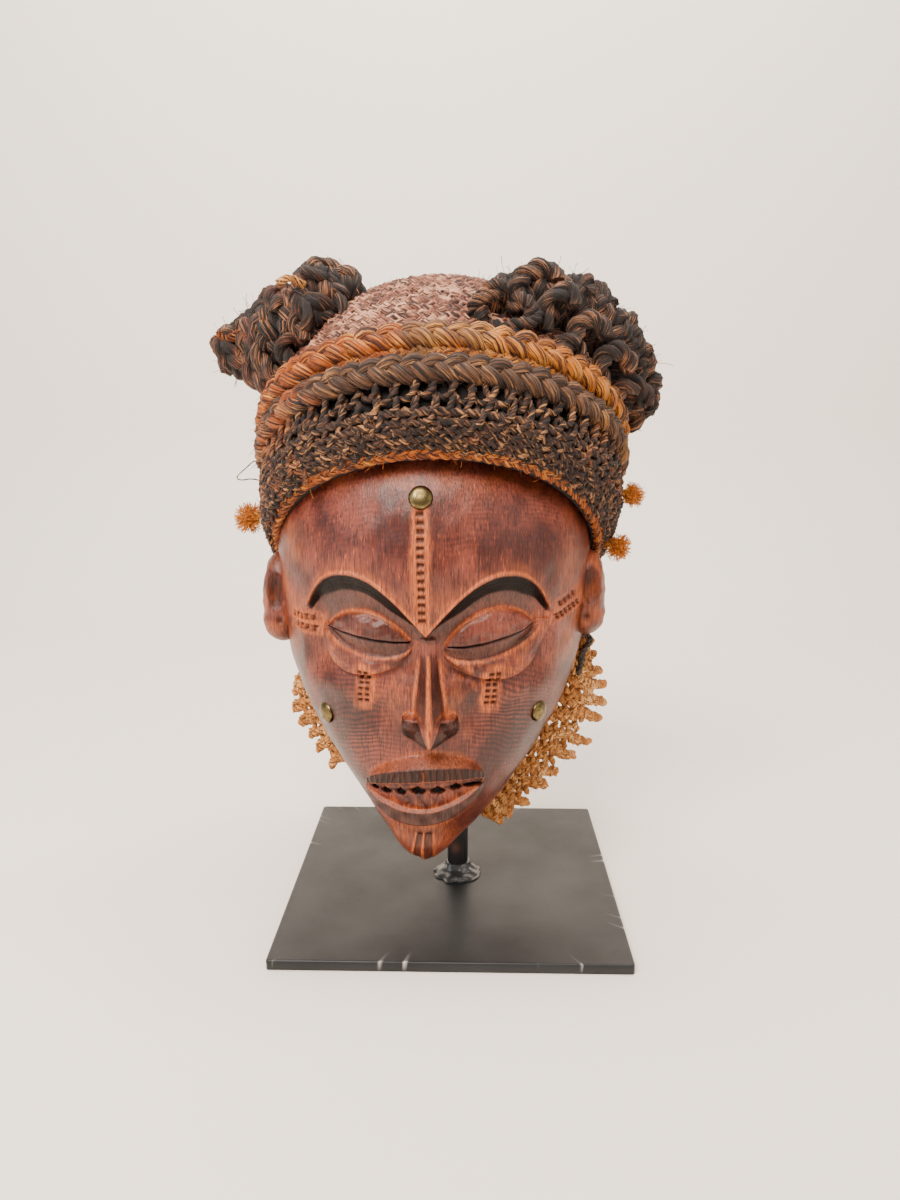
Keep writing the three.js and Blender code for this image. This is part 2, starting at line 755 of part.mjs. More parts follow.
const steel = material(colours.steel, 0.45, 0.4);
const wood = material(colours.wood, 0.45);
const brass = material(colours.brass, 0.35, 0.9);
const darkFibre = material(colours.darkFibre, 0.95);
const tanFibre = material(colours.tanFibre, 0.9);
const orangeFibre = material(colours.orangeFibre, 0.9);
const netFibre = material(colours.netFibre, 0.9);

// Assembly. Each layer of the headdress is cut clear of what it lies on.
const part = new THREE.Group();
const mask = new THREE.Group();
mask.position.x = maskCentreX;
part.add(mask);

function place(group, name, geometry, finish) {
  const mesh = new THREE.Mesh(geometry, finish);
  mesh.name = name;
  group.add(mesh);
}

function placeSolid(group, name, solid, finish) {
  place(group, name, toGeometry(largestPiece(solid)), finish);
}

place(part, 'stand_plate', plateGeometry(), steel);
placeSolid(part, 'stand_post', standPost(), steel);
placeSolid(mask, 'wood_face', woodFace(), wood);
tackPlaces.forEach((spot) => place(mask, spot.name, tackGeometry(spot, 0), brass));

const plait = (line, grow) => toSolid(plaitSkin(line, grow));
const woodZone = woodClear();
const capZone = toSolid(capSkin(gap, capColumns, capLoops));
const braidZone = plait(edgeBraid, gap);
const lowerZone = plait(lowerPlait, gap);
const upperZone = plait(upperPlait, gap);

const capOutside = toSolid(capSkin(0, capColumns, capLoops));
const capInside = toSolid(capSkin(-capWall, 18, 6, past));
placeSolid(mask, 'cap', capOutside.subtract(capInside).subtract(woodZone).subtract(braidZone), darkFibre);
placeSolid(mask, 'edge_braid', plait(edgeBraid, 0).subtract(woodZone), orangeFibre);
placeSolid(mask, 'plait_lower', plait(lowerPlait, 0).subtract(capZone), tanFibre);
placeSolid(mask, 'plait_upper', plait(upperPlait, 0).subtract(capZone).subtract(lowerZone), orangeFibre);

const underBuns = joined([capZone, lowerZone, upperZone]);
buns.forEach(({ name, path, radius }) => {
  placeSolid(mask, name, toSolid(bunSkin(path, radius, 0)).subtract(underBuns), darkFibre);
});
collars.forEach((collar) => {
  placeSolid(mask, collar.name, toSolid(collarSkin(collar)).subtract(woodZone), netFibre);
});
const underTassels = joined([toSolid(capSkin(gap, capColumns, capLoops, edgeClear)), braidZone, woodZone]);
tassels.forEach((tassel) => {
  placeSolid(mask, tassel.name, tasselSolid(tassel).subtract(underTassels), netFibre);
});

export default part;
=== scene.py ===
# A carved wooden mask with a knotted fibre headdress and net collar, held on a black steel stand.
# Sizes are in millimetres until a mesh is made. The mask's own middle line is x = 0 until then, too.
import math

import bpy
import numpy as np
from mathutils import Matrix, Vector


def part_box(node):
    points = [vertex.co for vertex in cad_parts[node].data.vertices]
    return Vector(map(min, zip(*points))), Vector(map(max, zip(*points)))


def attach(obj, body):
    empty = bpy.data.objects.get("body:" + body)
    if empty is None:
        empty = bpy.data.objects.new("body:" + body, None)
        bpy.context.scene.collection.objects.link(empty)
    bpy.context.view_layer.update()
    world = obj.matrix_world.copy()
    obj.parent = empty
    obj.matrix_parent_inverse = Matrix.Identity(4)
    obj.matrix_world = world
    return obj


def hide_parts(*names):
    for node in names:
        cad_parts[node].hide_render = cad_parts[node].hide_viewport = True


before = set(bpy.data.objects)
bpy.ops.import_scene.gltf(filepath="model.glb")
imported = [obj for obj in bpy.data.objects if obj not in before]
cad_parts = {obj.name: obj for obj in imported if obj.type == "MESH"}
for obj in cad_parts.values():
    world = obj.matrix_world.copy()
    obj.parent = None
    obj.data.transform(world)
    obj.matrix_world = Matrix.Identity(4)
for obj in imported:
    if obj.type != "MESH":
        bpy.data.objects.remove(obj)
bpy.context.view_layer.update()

# Where the mask's middle line stands over the plate, and the cap's over the mask
MASK_X, CAP_X = -12.0, 4.5


# Curves and small helpers

def smooth(value, low, high):
    """0 up to low, 1 from high on, and a soft rise between."""
    t = np.clip((value - low) / (high - low), 0, 1)
    return t * t * (3 - 2 * t)


def mix(a, b, t):
    """The value t of the way from a to b."""
    return a + (b - a) * t


def bell(value, middle, width):
    """1 at the middle, falling off softly over the width."""
    return np.exp(-((value - middle) / width) ** 2)


def within(value, low, high, soft):
    """1 between low and high, falling to 0 over soft on either side."""
    return smooth(value, low - soft, low) * (1 - smooth(value, high, high + soft))


def along_rows(rows, t):
    """Smooth curve through equally spaced rows of numbers, at parameters from 0 to 1."""
    rows = np.array(rows, float)
    place = np.clip(np.asarray(t, float), 0, 1) * (len(rows) - 1)
    i = np.minimum(place.astype(int), len(rows) - 2)
    w = (place - i)[..., None]
    here, there = rows[i], rows[i + 1]
    before, after = rows[np.maximum(i - 1, 0)], rows[np.minimum(i + 2, len(rows) - 1)]
    leave, arrive = (there - before) / 2, (after - here) / 2
    return ((2 * w**3 - 3 * w**2 + 1) * here + (w**3 - 2 * w**2 + w) * leave
            + (3 * w**2 - 2 * w**3) * there + (w**3 - w**2) * arrive)


def unit(vectors):
    """Each vector made one long."""
    return vectors / np.maximum(np.linalg.norm(vectors, axis=-1, keepdims=True), 1e-9)


def ripple(seed, count, size, *coordinates):
    """Gentle random waves about size mm long, between about -1 and 1."""
    made = np.random.default_rng(seed)
    total = 0
    for _ in range(count):
        pull = made.normal(size=len(coordinates))
        pull *= 2 * math.pi / size * made.uniform(0.6, 1.5) / np.linalg.norm(pull)
        total = total + np.sin(sum(p * c for p, c in zip(pull, coordinates)) + made.uniform(0, 7))
    return total / math.sqrt(count)


def mesh_object(name, points, faces, material, attributes=(), shift=MASK_X):
    """A finished piece from points in millimetres, with its place in its mesh."""
    placed = (np.asarray(points, float) + [shift, 0, 0]) / 1000
    mesh = bpy.data.meshes.new(name)
    mesh.from_pydata(placed.tolist(), [], faces)
    mesh.materials.append(material)
    for key, values in dict(attributes).items():
        mesh.attributes.new(key, "FLOAT", "POINT").data.foreach_set("value", np.asarray(values, np.float32))
    mesh.shade_smooth()
    mesh.validate()
    made = bpy.data.objects.new(name, mesh)
    bpy.context.collection.objects.link(made)
    return made


def grid_faces(rows, columns, start=0, closed=False):
    """Quads of a grid of points, the columns joined round when closed."""
    wide = columns if closed else columns - 1
    faces = []
    for i in range(rows - 1):
        for j in range(wide):
            k = (j + 1) % columns
            a, b = start + i * columns + j, start + i * columns + k
            faces.append((a, b, b + columns, a + columns))
    return faces


def outward(made):
    """Turns a closed mesh's faces out when they point in."""
    mesh = made.data
    mesh.calc_loop_triangles()
    corners = np.array([[mesh.vertices[v].co for v in t.vertices] for t in mesh.loop_triangles])
    if np.einsum("ij,ij->", corners[:, 0], np.cross(corners[:, 1], corners[:, 2])) < 0:
        mesh.flip_normals()
    return made


def settle(made, slot, *nodes):
    """Puts a finished piece on the body and in place of its solids. Its slot is not used."""
    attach(made, "root")
    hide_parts(*nodes)
    return made


# Materials

def hex_colour(text):
    """Linear colour of an sRGB hex value."""
    parts = [int(text[i:i + 2], 16) / 255 for i in (1, 3, 5)]
    return tuple(c / 12.92 if c <= 0.04045 else ((c + 0.055) / 1.055) ** 2.4 for c in parts) + (1,)


def add(tree, kind, values=(), take=0, **settings):
    """One node of a tree, with its settings and links, and the output that is taken from it. A value that is
    a socket is linked, and any other is set on the input."""
    node = tree.nodes.new(kind)
    for key, setting in settings.items():
        setattr(node, key, setting)
    for key, value in dict(values).items():
        if isinstance(value, bpy.types.NodeSocket):
            tree.links.new(value, node.inputs[key])
        else:
            node.inputs[key].default_value = value
    return node.outputs[take] if node.outputs else node


def new_material(name):
    """An empty material and its tree."""
    material = bpy.data.materials.new(name)
    material.use_nodes = True
    material.node_tree.nodes.clear()
    return material, material.node_tree


def carved_wood():
    """Close-grained hardwood carved with adze and knife, rubbed with red clay and oil and handled for years.
    It gives a deep brick-brown satin sheen, with orange clay left in cuts and scratches and soot in the
    hollows. Shade is painted in as well: black in the slits, tooth gaps and ear hollows, darker under the
    nose, lips, lids and eye bags. A grey tint on the upper lids stands for their sheen."""
    material, tree = new_material("carved hardwood with red clay and oil")
    place = add(tree, "ShaderNodeTexCoord", take="Object")
    tint = {key: add(tree, "ShaderNodeAttribute", take="Fac", attribute_name=key)
            for key in ("ochre", "soot_shade_and_sheen", "dark", "raw", "rings")}

    # Patches of patina, 30 mm across, and scratches that run with the grain, 0.9 and 0.5 mm wide
    patches = add(tree, "ShaderNodeTexNoise", {"Vector": place, "Scale": 34.0, "Detail": 4.0})
    grain = add(tree, "ShaderNodeMapping", {"Vector": place, "Scale": (1.0, 0.5, 0.08)})
    scratches = add(tree, "ShaderNodeTexNoise", {
        "Vector": grain, "Scale": 1050.0, "Detail": 4.0, "Roughness": 0.65, "Distortion": 0.6})
    fine = add(tree, "ShaderNodeTexNoise", {
        "Vector": grain, "Scale": 1900.0, "Detail": 2.0, "Roughness": 0.6, "Distortion": 0.3})

    # Growth rings, which the cheeks cut into wavy arches. They are drawn 2.4 mm apart, a little wider than
    # real ones, so that they show.
    heart = add(tree, "ShaderNodeMapping", {
        "Vector": place, "Location": (0.012, 0, -0.02), "Scale": (0.8, 1, 1)})
    rings = add(tree, "ShaderNodeTexWave", {
        "Vector": heart, "Scale": 118.0, "Distortion": 15.0, "Detail": 2.0, "Detail Scale": 0.3},
        "Fac", wave_type="RINGS", rings_direction="Y")

    # How far each coat covers: the pattern it follows, where in it the cover starts and is full, and, where
    # they aren't 0 and 1, the cover at each
    cover = {key: add(tree, "ShaderNodeMapRange", dict(enumerate(reach))) for key, reach in {
        "patina": (patches, 0.42, 0.6), "scratched": (scratches, 0.5, 0.6, 0.0, 0.7),
        "ringed": (rings, 0.3, 0.7), "hairs": (fine, 0.6, 0.67, 0.0, 0.8),
        "hairs left": (patches, 0.42, 0.56, 0.35, 1.0), "clay": (fine, 0.4, 0.6),
        "clay left": (scratches, 0.36, 0.62, 1.25, 0.4), "soot": (scratches, 0.4, 0.6),
        "inside": (scratches, 0.35, 0.65), "dull": (patches, 0.35, 0.7, 0.3, 0.42)}.items()}
    ringed, clay_left = (
        add(tree, "ShaderNodeMath", {0: tint[key], 1: cover[held]}, operation="MULTIPLY", use_clamp=True)
        for key, held in (("rings", "ringed"), ("ochre", "clay left")))
    clear = add(tree, "ShaderNodeMath", {0: 1.0, 1: tint["rings"]}, operation="SUBTRACT", use_clamp=True)
    hairs = add(tree, "ShaderNodeMath", {0: cover["hairs"], 1: cover["hairs left"]}, operation="MULTIPLY")
    hairs = add(tree, "ShaderNodeMath", {0: hairs, 1: clear}, operation="MULTIPLY")

    # Two shades of the wood, the clay, the soot and the unoiled inside, then each coat over the last. The
    # soot coat also carries painted shade and a painted sheen. Besides the black of the brow bevels, the
    # near-black coat is painted shade in slits, gaps, hollows and under overhangs.
    shades = [("patina", "#481d15", "#7a3a2b"), ("clay", "#a34a1c", "#cc6c33"),
              ("soot", "#552d1f", "#2c150d"), ("inside", "#6b4a36", "#8c6a4f")]
    body, clay, soot, inside = (
        add(tree, "ShaderNodeMix", {0: cover[key], 6: hex_colour(one), 7: hex_colour(other)}, 2,
            data_type="RGBA") for key, one, other in shades)
    for much, coat in (
            (cover["scratched"], hex_colour("#28100b")), (ringed, hex_colour("#1f0a07")),
            (hairs, hex_colour("#b0552c")), (clay_left, clay), (tint["soot_shade_and_sheen"], soot),
            (tint["dark"], hex_colour("#120b09")), (tint["raw"], inside)):
        body = add(tree, "ShaderNodeMix", {0: much, 6: body, 7: coat}, 2, data_type="RGBA")

    rough = cover["dull"]
    for key, more in (("ochre", 0.2), ("raw", 0.3)):
        rough = add(tree, "ShaderNodeMath", {0: tint[key], 1: more, 2: rough}, operation="MULTIPLY_ADD")
    gloss = add(tree, "ShaderNodeMath", {0: tint["dark"], 1: -0.32, 2: 0.42}, operation="MULTIPLY_ADD")
    relief = add(tree, "ShaderNodeMath", {0: scratches, 1: 0.7, 2: fine}, operation="MULTIPLY_ADD")
    bump = add(tree, "ShaderNodeBump", {"Height": relief, "Strength": 0.4, "Distance": 0.0006})
    surface = add(tree, "ShaderNodeBsdfPrincipled", {
        "Base Color": body, "Roughness": rough, "IOR": 1.5, "Specular IOR Level": gloss, "Normal": bump})
    add(tree, "ShaderNodeOutputMaterial", {"Surface": surface})
    return material


def fibre(name, deep, middle, light, light_share, strands_round, dyes=None, patchy=0.5):
    """Twisted bark fibre: matt strands laid along the thread, each its own shade. It gives the eye streaks
    that follow every cord: the deep colour, on about half of each strand, is painted shade between the
    strands, and the light one, laid on random strands and patches, is painted highlight. Real strands are
    about 0.3 mm wide, and on thin threads they are drawn wider so that they show. Dyes are the colours that
    have taken at the left and the right of the cap, and how much of it they cover in the middle and at its
    sides."""
    material, tree = new_material(name)
    ring = add(tree, "ShaderNodeAttribute", take="Vector", attribute_name="ring")
    along = add(tree, "ShaderNodeAttribute", take="Fac", attribute_name="along")
    length = add(tree, "ShaderNodeCombineXYZ", {"Z": along})
    spread = (strands_round / (2 * math.pi),) * 3
    grain = add(tree, "ShaderNodeVectorMath", {0: ring, 1: spread, 2: length}, operation="MULTIPLY_ADD")
    strands = add(tree, "ShaderNodeTexNoise", {
        "Vector": grain, "Scale": 1.0, "Detail": 3.0, "Roughness": 0.65})
    place = add(tree, "ShaderNodeTexCoord", take="Object")
    # Stretches about 13 mm long, with more painted highlight or less
    patches = add(tree, "ShaderNodeTexNoise", {"Vector": place, "Scale": 75.0, "Detail": 3.0})
    lit = add(tree, "ShaderNodeMath", {0: patches, 1: patchy, 2: strands}, operation="MULTIPLY_ADD")

    own = hex_colour(middle)
    if dyes:
        left, right, middle_share, side_share = dyes
        across = add(tree, "ShaderNodeSeparateXYZ", {0: place})
        away = add(tree, "ShaderNodeMath", {0: across, 1: -(MASK_X + CAP_X) / 1000}, operation="ADD")
        away = add(tree, "ShaderNodeMath", {0: away}, operation="ABSOLUTE")
        share = add(tree, "ShaderNodeMapRange", {0: away, 1: 0.025, 2: 0.085, 3: middle_share, 4: side_share})
        # The dye lies in patches about 20 mm across
        taken = add(tree, "ShaderNodeTexNoise", {"Vector": place, "Scale": 48.0, "Detail": 3.0})
        taken = add(tree, "ShaderNodeMath", {0: taken, 1: share}, operation="ADD")
        to_right = add(tree, "ShaderNodeMapRange", {0: across, 1: -0.03, 2: 0.03})
        dye = add(tree, "ShaderNodeMix", {0: to_right, 6: hex_colour(left), 7: hex_colour(right)}, 2,
                  data_type="RGBA")
        dyed = add(tree, "ShaderNodeMapRange", {0: taken, 1: 0.95, 2: 1.07})
        own = add(tree, "ShaderNodeMix", {0: dyed, 6: own, 7: dye}, 2, data_type="RGBA")
    # The own colour goes over the deep one, which is painted shade, and the light one, painted highlight,
    # goes over both
    edge = 0.73 + 0.5 * patchy - 0.24 * light_share
    coats = [(strands, 0.42, 0.56, own), (lit, edge - 0.07, edge + 0.05, hex_colour(light))]
    body = hex_colour(deep)
    for pattern, start, full, coat in coats:
        cover = add(tree, "ShaderNodeMapRange", {0: pattern, 1: start, 2: full})
        body = add(tree, "ShaderNodeMix", {0: cover, 6: body, 7: coat}, 2, data_type="RGBA")
    bump = add(tree, "ShaderNodeBump", {"Height": strands, "Strength": 1.0, "Distance": 0.0014})
    surface = add(tree, "ShaderNodeBsdfPrincipled", {
        "Base Color": body, "Roughness": 0.66, "IOR": 1.5, "Specular IOR Level": 0.3, "Sheen Weight": 0.06,
        "Normal": bump})
    add(tree, "ShaderNodeOutputMaterial", {"Surface": surface})
    return material


def plain(name, colour, roughness, gloss=0.5):
    """A finish of one colour."""
    material, tree = new_material(name)
    surface = add(tree, "ShaderNodeBsdfPrincipled", {
        "Base Color": hex_colour(colour), "Roughness": roughness, "IOR": 1.5, "Specular IOR Level": gloss})
    add(tree, "ShaderNodeOutputMaterial", {"Surface": surface})
    return material


def black_steel():
    """Hot-rolled mild steel, blackened and waxed: a satin charcoal that goes grey where a cloth has rubbed
    it, with bright bare metal on the knocked edges."""
    material, tree = new_material("blackened and waxed mild steel")
    place = add(tree, "ShaderNodeTexCoord", take="Object")
    bare, rust = (add(tree, "ShaderNodeAttribute", take="Fac", attribute_name=key)
                  for key in ("bare", "rust"))
    # Cloudy rubbing, 40 mm across, with a 3 mm mottle
    clouds = add(tree, "ShaderNodeTexNoise", {
        "Vector": place, "Scale": 22.0, "Detail": 6.0, "Roughness": 0.6})
    rubbed = add(tree, "ShaderNodeMapRange", {0: clouds, 1: 0.35, 2: 0.68})
    rough = add(tree, "ShaderNodeMapRange", {0: clouds, 1: 0.3, 2: 0.7, 3: 0.5, 4: 0.36})
    body = hex_colour("#131416")
    for much, coat in ((rubbed, "#1e2022"), (rust, "#5c3a2c"), (bare, "#b9b4ac")):
        body = add(tree, "ShaderNodeMix", {0: much, 6: body, 7: hex_colour(coat)}, 2, data_type="RGBA")
    bump = add(tree, "ShaderNodeBump", {"Height": clouds, "Strength": 0.12, "Distance": 0.0006})
    surface = add(tree, "ShaderNodeBsdfPrincipled", {
        "Base Color": body, "Roughness": rough, "IOR": 1.5, "Specular IOR Level": 0.4, "Normal": bump})
    add(tree, "ShaderNodeOutputMaterial", {"Surface": surface})
    return material


def brass():
    """Stamped brass upholstery tack, aged: olive gold, darker in the rim with dirt and with painted shade
    where it meets the wood, and brighter on the crown.
    """
    material, tree = new_material("aged stamped brass")
    place = add(tree, "ShaderNodeTexCoord", take="Object")
    # Stains about 2.4 mm across
    stain = add(tree, "ShaderNodeTexNoise", {"Vector": place, "Scale": 420.0, "Detail": 4.0})
    rim = add(tree, "ShaderNodeAttribute", take="Fac", attribute_name="rim")
    stained = add(tree, "ShaderNodeMapRange", {0: stain, 1: 0.4, 2: 0.65})
    rough = add(tree, "ShaderNodeMapRange", {0: stain, 1: 0.35, 2: 0.7, 3: 0.24, 4: 0.42})
    body = hex_colour("#7a6a46")
    for much, coat in ((stained, "#564a2a"), (rim, "#261b0c")):
        body = add(tree, "ShaderNodeMix", {0: much, 6: body, 7: hex_colour(coat)}, 2, data_type="RGBA")
    surface = add(tree, "ShaderNodeBsdfPrincipled", {"Base Color": body, "Metallic": 1.0, "Roughness": rough})
    add(tree, "ShaderNodeOutputMaterial", {"Surface": surface})
    return material


wood = carved_wood()
steel = black_steel()
tack_brass = brass()
# Black with hearth soot and brown where it has rubbed clean, with pale tan strands of painted highlight
net_dark = fibre("sooty bark fibre", "#0d0705", "#40261a", "#ac7848", 0.46, 6,
                 ("#8a4a22", "#703d1e", 0.26, 0.48), patchy=0.15)
# The same fibre in thick ropes, near black, with single pale strands of painted highlight
bun_dark = fibre("sooty bark fibre in thick ropes", "#090606", "#2a1c15", "#a9724c", 0.43, 42,
                 ("#6b3724", "#54301e", 0.26, 0.42))
# Rubbed with red clay, which dries a dusty pink
crown_pink = fibre("clay-rubbed bark fibre", "#2a1812", "#925740", "#cb9878", 0.56, 12,
                   ("#a85a30", "#8f6248", 0.3, 0.42))
# Dyed orange, with gold strands of painted highlight
plait_gold = fibre("dyed bark fibre", "#33190c", "#8a5a2c", "#cc8a3c", 0.5, 30,
                   ("#a84e00", "#bd6a00", 0.5, 0.95))
# Weathered to a greyish brown, with orange dye left in patches
plait_grey = fibre("weathered bark fibre", "#180d08", "#5c3b24", "#a47446", 0.36, 30,
                   ("#a5521f", "#94622c", 0.28, 0.52))
# Newer than the rest, in a full orange
braid_orange = fibre("orange-dyed bark fibre", "#35160a", "#a04e06", "#ca7a28", 0.5, 11)
# Undyed, in the pale gold of the bark itself
collar_gold = fibre("undyed golden bark fibre", "#85501e", "#c6803a", "#eab270", 0.57, 8)
# Cut ends, which show the brighter inside of the fibre
tassel_gold = fibre("cut ends of orange bark fibre", "#b05a12", "#d98a24", "#f0ae58", 0.6, 8)
# Old cord, grey with dust
cord_grey = fibre("grey weathered cord", "#1c1713", "#4d4237", "#7b6d5c", 0.5, 9)
# A matt black ground under the knots, sooty fibre that also paints the shade in the gaps between them
sooty_ground_and_shade = plain("sooty fibre ground and painted shade", "#100b09", 0.95)


# The carved wood

WALL = 9.0
CHIN_Z, DOME_Z = 38.5, 296.0
# The plain shell that the face is cut into
SHELL_ROWS = [
    # height, half width, front, rim
    (CHIN_Z, 5, -46, -26), (43, 13, -51, -22), (50, 21.5, -55, -18), (62, 34, -59, -13),
    (78, 47.5, -62, -6), (98, 63, -64, 4), (122, 78, -65, 12), (146, 88, -67, 18),
    (170, 94, -70, 22), (196, 96, -75, 22), (222, 96, -77, 22), (246, 91, -73, 22),
    (266, 79, -65, 22), (282, 60, -50, 22), (292, 36, -30, 22), (DOME_Z, 8, -4, 22),
]
shell_table = along_rows(SHELL_ROWS, np.linspace(0, 1, 4001))


def shell_at(z):
    """The shell's half width, front and rim at a height."""
    return [np.interp(z, shell_table[:, 0], shell_table[:, k]) for k in (1, 2, 3)]


def lean_at(z):
    """How far the chin leans to one side."""
    return -3.2 * (1 - smooth(z, 40, 80))


BROW_MIDDLE_X = -1.4
BROW_PEAK_X, BROW_PEAK_Z, BROW_FOOT_Z = 43, 212.5, 179.5
BROW_END_X, BROW_END_Z = 68, 191.5
BROW_BAND, BROW_BAND_LEAST = 9.3, 1.5
SOCKET_DEPTH = 7.5
SLIT_INNER_X, SLIT_LENGTH, EYE_STEP = 11.5, 47, 0.5
# The left eye first. Slits: height, rise and the power of their curve.
SLITS = ((174.6, 5.4, 1.6), (172.1, 9.4, 1.7))
# Outlines over and under the slits: middle, half length, height, power of the curve, skew
UPPER_LIDS = ((36.3, 25.3, 14.4, 0.8, 0), (35.3, 26.5, 17.5, 0.8, 0))
LOWER_LIDS = ((34.5, 25, 9.4, 0.6, 0), (36, 28, 8.9, 0.5, 0))
EYE_BAGS = ((37.5, 27.5, 21, 0.45, 0.27), (37.8, 29.8, 22, 0.42, 0.35))
NOSE_TOP_Z, NOSE_TIP_Z, NOSE_BOTTOM_Z = 171, 127, 120.3
NOSTRIL_X, NOSTRIL_Z, NOSTRIL_HALF_WIDTH, NOSTRIL_HALF_HEIGHT = 9, 128.5, 6.8, 6.6
MOUTH_X, MOUTH_Z, MOUTH_TILT, MOUTH_HALF = -3, 91.3, 0.099, 33
LIP_TOP, LIP_BREAK, OPENING_TOP = (19.9, 0.5), (13.5, 0.48), (5.9, 0.6)
OPENING_FOOT, LIP_FOOT = (-13.3, 1), (-21.4, 0.78)
LIP_STEP, LIP_UNDERCUT = 0.8, 2


def side_of(x):
    """Distance from the middle of the brows."""
    return np.abs(x - BROW_MIDDLE_X)


def brow_edge(side):
    """Height of the cut edge of a brow."""
    rise = BROW_FOOT_Z + (BROW_PEAK_Z - BROW_FOOT_Z) * np.sin(math.pi / 2 * np.minimum(side / BROW_PEAK_X, 1))
    t = np.clip((side - BROW_PEAK_X) / (BROW_END_X - BROW_PEAK_X), 0, 1)
    return np.where(side < BROW_PEAK_X, rise, BROW_PEAK_Z - (BROW_PEAK_Z - BROW_END_Z) * t**2.7)


def band_foot(side):
    """Height of the foot of the bevel under a brow."""
    width = smooth(side, 0, 24) * (1 - 0.85 * smooth(side, 54, BROW_END_X - 1))
    return brow_edge(side) - BROW_BAND_LEAST - (BROW_BAND - BROW_BAND_LEAST) * width


def of_both(pair, value, x):
    """A value that differs between the eyes, changing from one to the other over the nose."""
    left, right = (value(*numbers) for numbers in pair)
    return mix(left, right, smooth(x, -10, 10))


def slit_line(side, x):
    """Height of the slit between the lids."""
    t = np.clip((side - SLIT_INNER_X) / SLIT_LENGTH, 0, 1.15)
    return of_both(SLITS, lambda z, rise, power: z + rise * t**power, x)


def lens(pair, side, x):
    """How far a rounded outline stands from the slit."""
    def height(middle, half, top, power, skew):
        u = (side - middle) / half
        return top * np.maximum(0, 1 - u * u) ** power * (1 + skew * u)
    return of_both(pair, height, x)


def eye_relief(x, z):
    """How far the lids and the bag below them stand out."""
    side = np.abs(x)
    up = z - slit_line(side, x)
    top, foot, bag = lens(UPPER_LIDS, side, x), lens(LOWER_LIDS, side, x), lens(EYE_BAGS, side, x)
    ends = np.minimum(1, top / 15) ** 0.6
    lid = 7 * ends * np.sqrt(np.maximum(0, 1 - (up / np.maximum(top, 1e-6)) ** 2))
    lower = ends * mix(5.6, 2.5, np.clip(-up / np.maximum(foot, 1e-6), 0, 1))
    t = np.clip((-foot - up) / np.maximum(bag - foot, EYE_STEP), 0, 1)
    swollen = np.minimum(1, bag / 19) * (2.5 + 3.2 * np.sin(math.pi * (0.1 + 0.72 * t)))
    return np.select([up > EYE_STEP, up > EYE_STEP - foot, up >= -bag - EYE_STEP],
                     [np.where(up < top, lid, 0), lower, swollen], 0)


def socket_relief(side, z):
    """How far the socket lies back under its brow."""
    below = brow_edge(side) - z
    band_height = brow_edge(side) - band_foot(side)
    band = np.minimum(1, below / band_height) * SOCKET_DEPTH * 0.7
    hollow = smooth(below - band_height, 0, 12) * SOCKET_DEPTH * 0.3
    floor = smooth(z, 142, 166)
    edge = 1 - smooth(side, BROW_END_X - 4, BROW_END_X + 5)
    return np.where(below <= 0, 0, -(band + hollow) * floor * edge)


def nose_middle(z):
    return mix(0.5, -0.4, np.clip((z - NOSE_TIP_Z) / (NOSE_TOP_Z - NOSE_TIP_Z), 0, 1))


def nose_bottom(x):
    return NOSE_BOTTOM_Z + 0.022 * np.minimum(np.abs(x), 18) ** 2


def nose_relief(x, z):
    """How far the nose's ridge and wings stand out."""
    side = np.abs(x - nose_middle(z))
    fall = np.clip((NOSE_TOP_Z + 6 - z) / (NOSE_TOP_Z + 6 - NOSE_TIP_Z), 0, 1)
    bottom = nose_bottom(x)
    underside = smooth(z, bottom - 3, bottom)
    half = mix(4.5, 10.5, fall**2.2)
    ridge = 18 * fall**1.15 * np.maximum(0, 1 - side / half) ** 0.75
    wing_up = np.abs(z - NOSTRIL_Z) / NOSTRIL_HALF_HEIGHT
    wing_out = np.abs(side - NOSTRIL_X) / NOSTRIL_HALF_WIDTH
    full = np.maximum(0, 1 - np.where(z > NOSTRIL_Z, wing_up**2.6, 0) - wing_out**2.6)
    wing = 10 * np.sqrt(full) * mix(0.4, 1, np.clip((z - bottom) / 6, 0, 1))
    return np.maximum(ridge, wing) * underside


def mouth_line(line, x, least=0.0):
    """Height of one line of the mouth, which bows between its corners."""
    t = (x - MOUTH_X) / MOUTH_HALF
    corners = MOUTH_Z + MOUTH_TILT * MOUTH_HALF * np.clip(t, -1, 1)
    return corners + line[0] * np.maximum(least, 1 - t * t) ** line[1]


def mouth_relief(x, z):
    """How far the lips and the teeth between them stand out."""
    t = (x - MOUTH_X) / MOUTH_HALF
    room = np.maximum(0, 1 - t * t)
    top, edge, foot = mouth_line(LIP_TOP, x), mouth_line(LIP_BREAK, x), mouth_line(LIP_FOOT, x)
    proud = 8 * room**0.3
    sunk = 5 * np.minimum(1, 1.4 * room)
    slope = proud * (top - z) / np.maximum(top - edge, 1e-6)
    lower = proud * 0.95 * np.clip((z - foot + LIP_UNDERCUT) / LIP_UNDERCUT, 0, 1)
    made = np.select(
        [(z > top) | (z < foot - LIP_UNDERCUT) | (room <= 0), z > edge,
         z > mouth_line(OPENING_TOP, x) - LIP_STEP / 2, z > mouth_line(OPENING_FOOT, x) + LIP_STEP / 2],
        [0, slope, proud, proud - sunk], lower)
    return np.where(room > 0, made, 0)


def carving(x, z):
    """The main carving of the face: how far it stands out of the shell."""
    nose = nose_relief(x, z)
    soft = -3.5 * bell(np.abs(x), 26, 12) * bell(z, 138, 16) + 4 * bell(x, -3.5, 16) * bell(z, 50, 9)
    face = socket_relief(side_of(x), z) + eye_relief(x, z) + mouth_relief(x, z) + soft
    return np.where(nose > 0, np.maximum(face, nose + np.minimum(0, face) * 0.6), face)


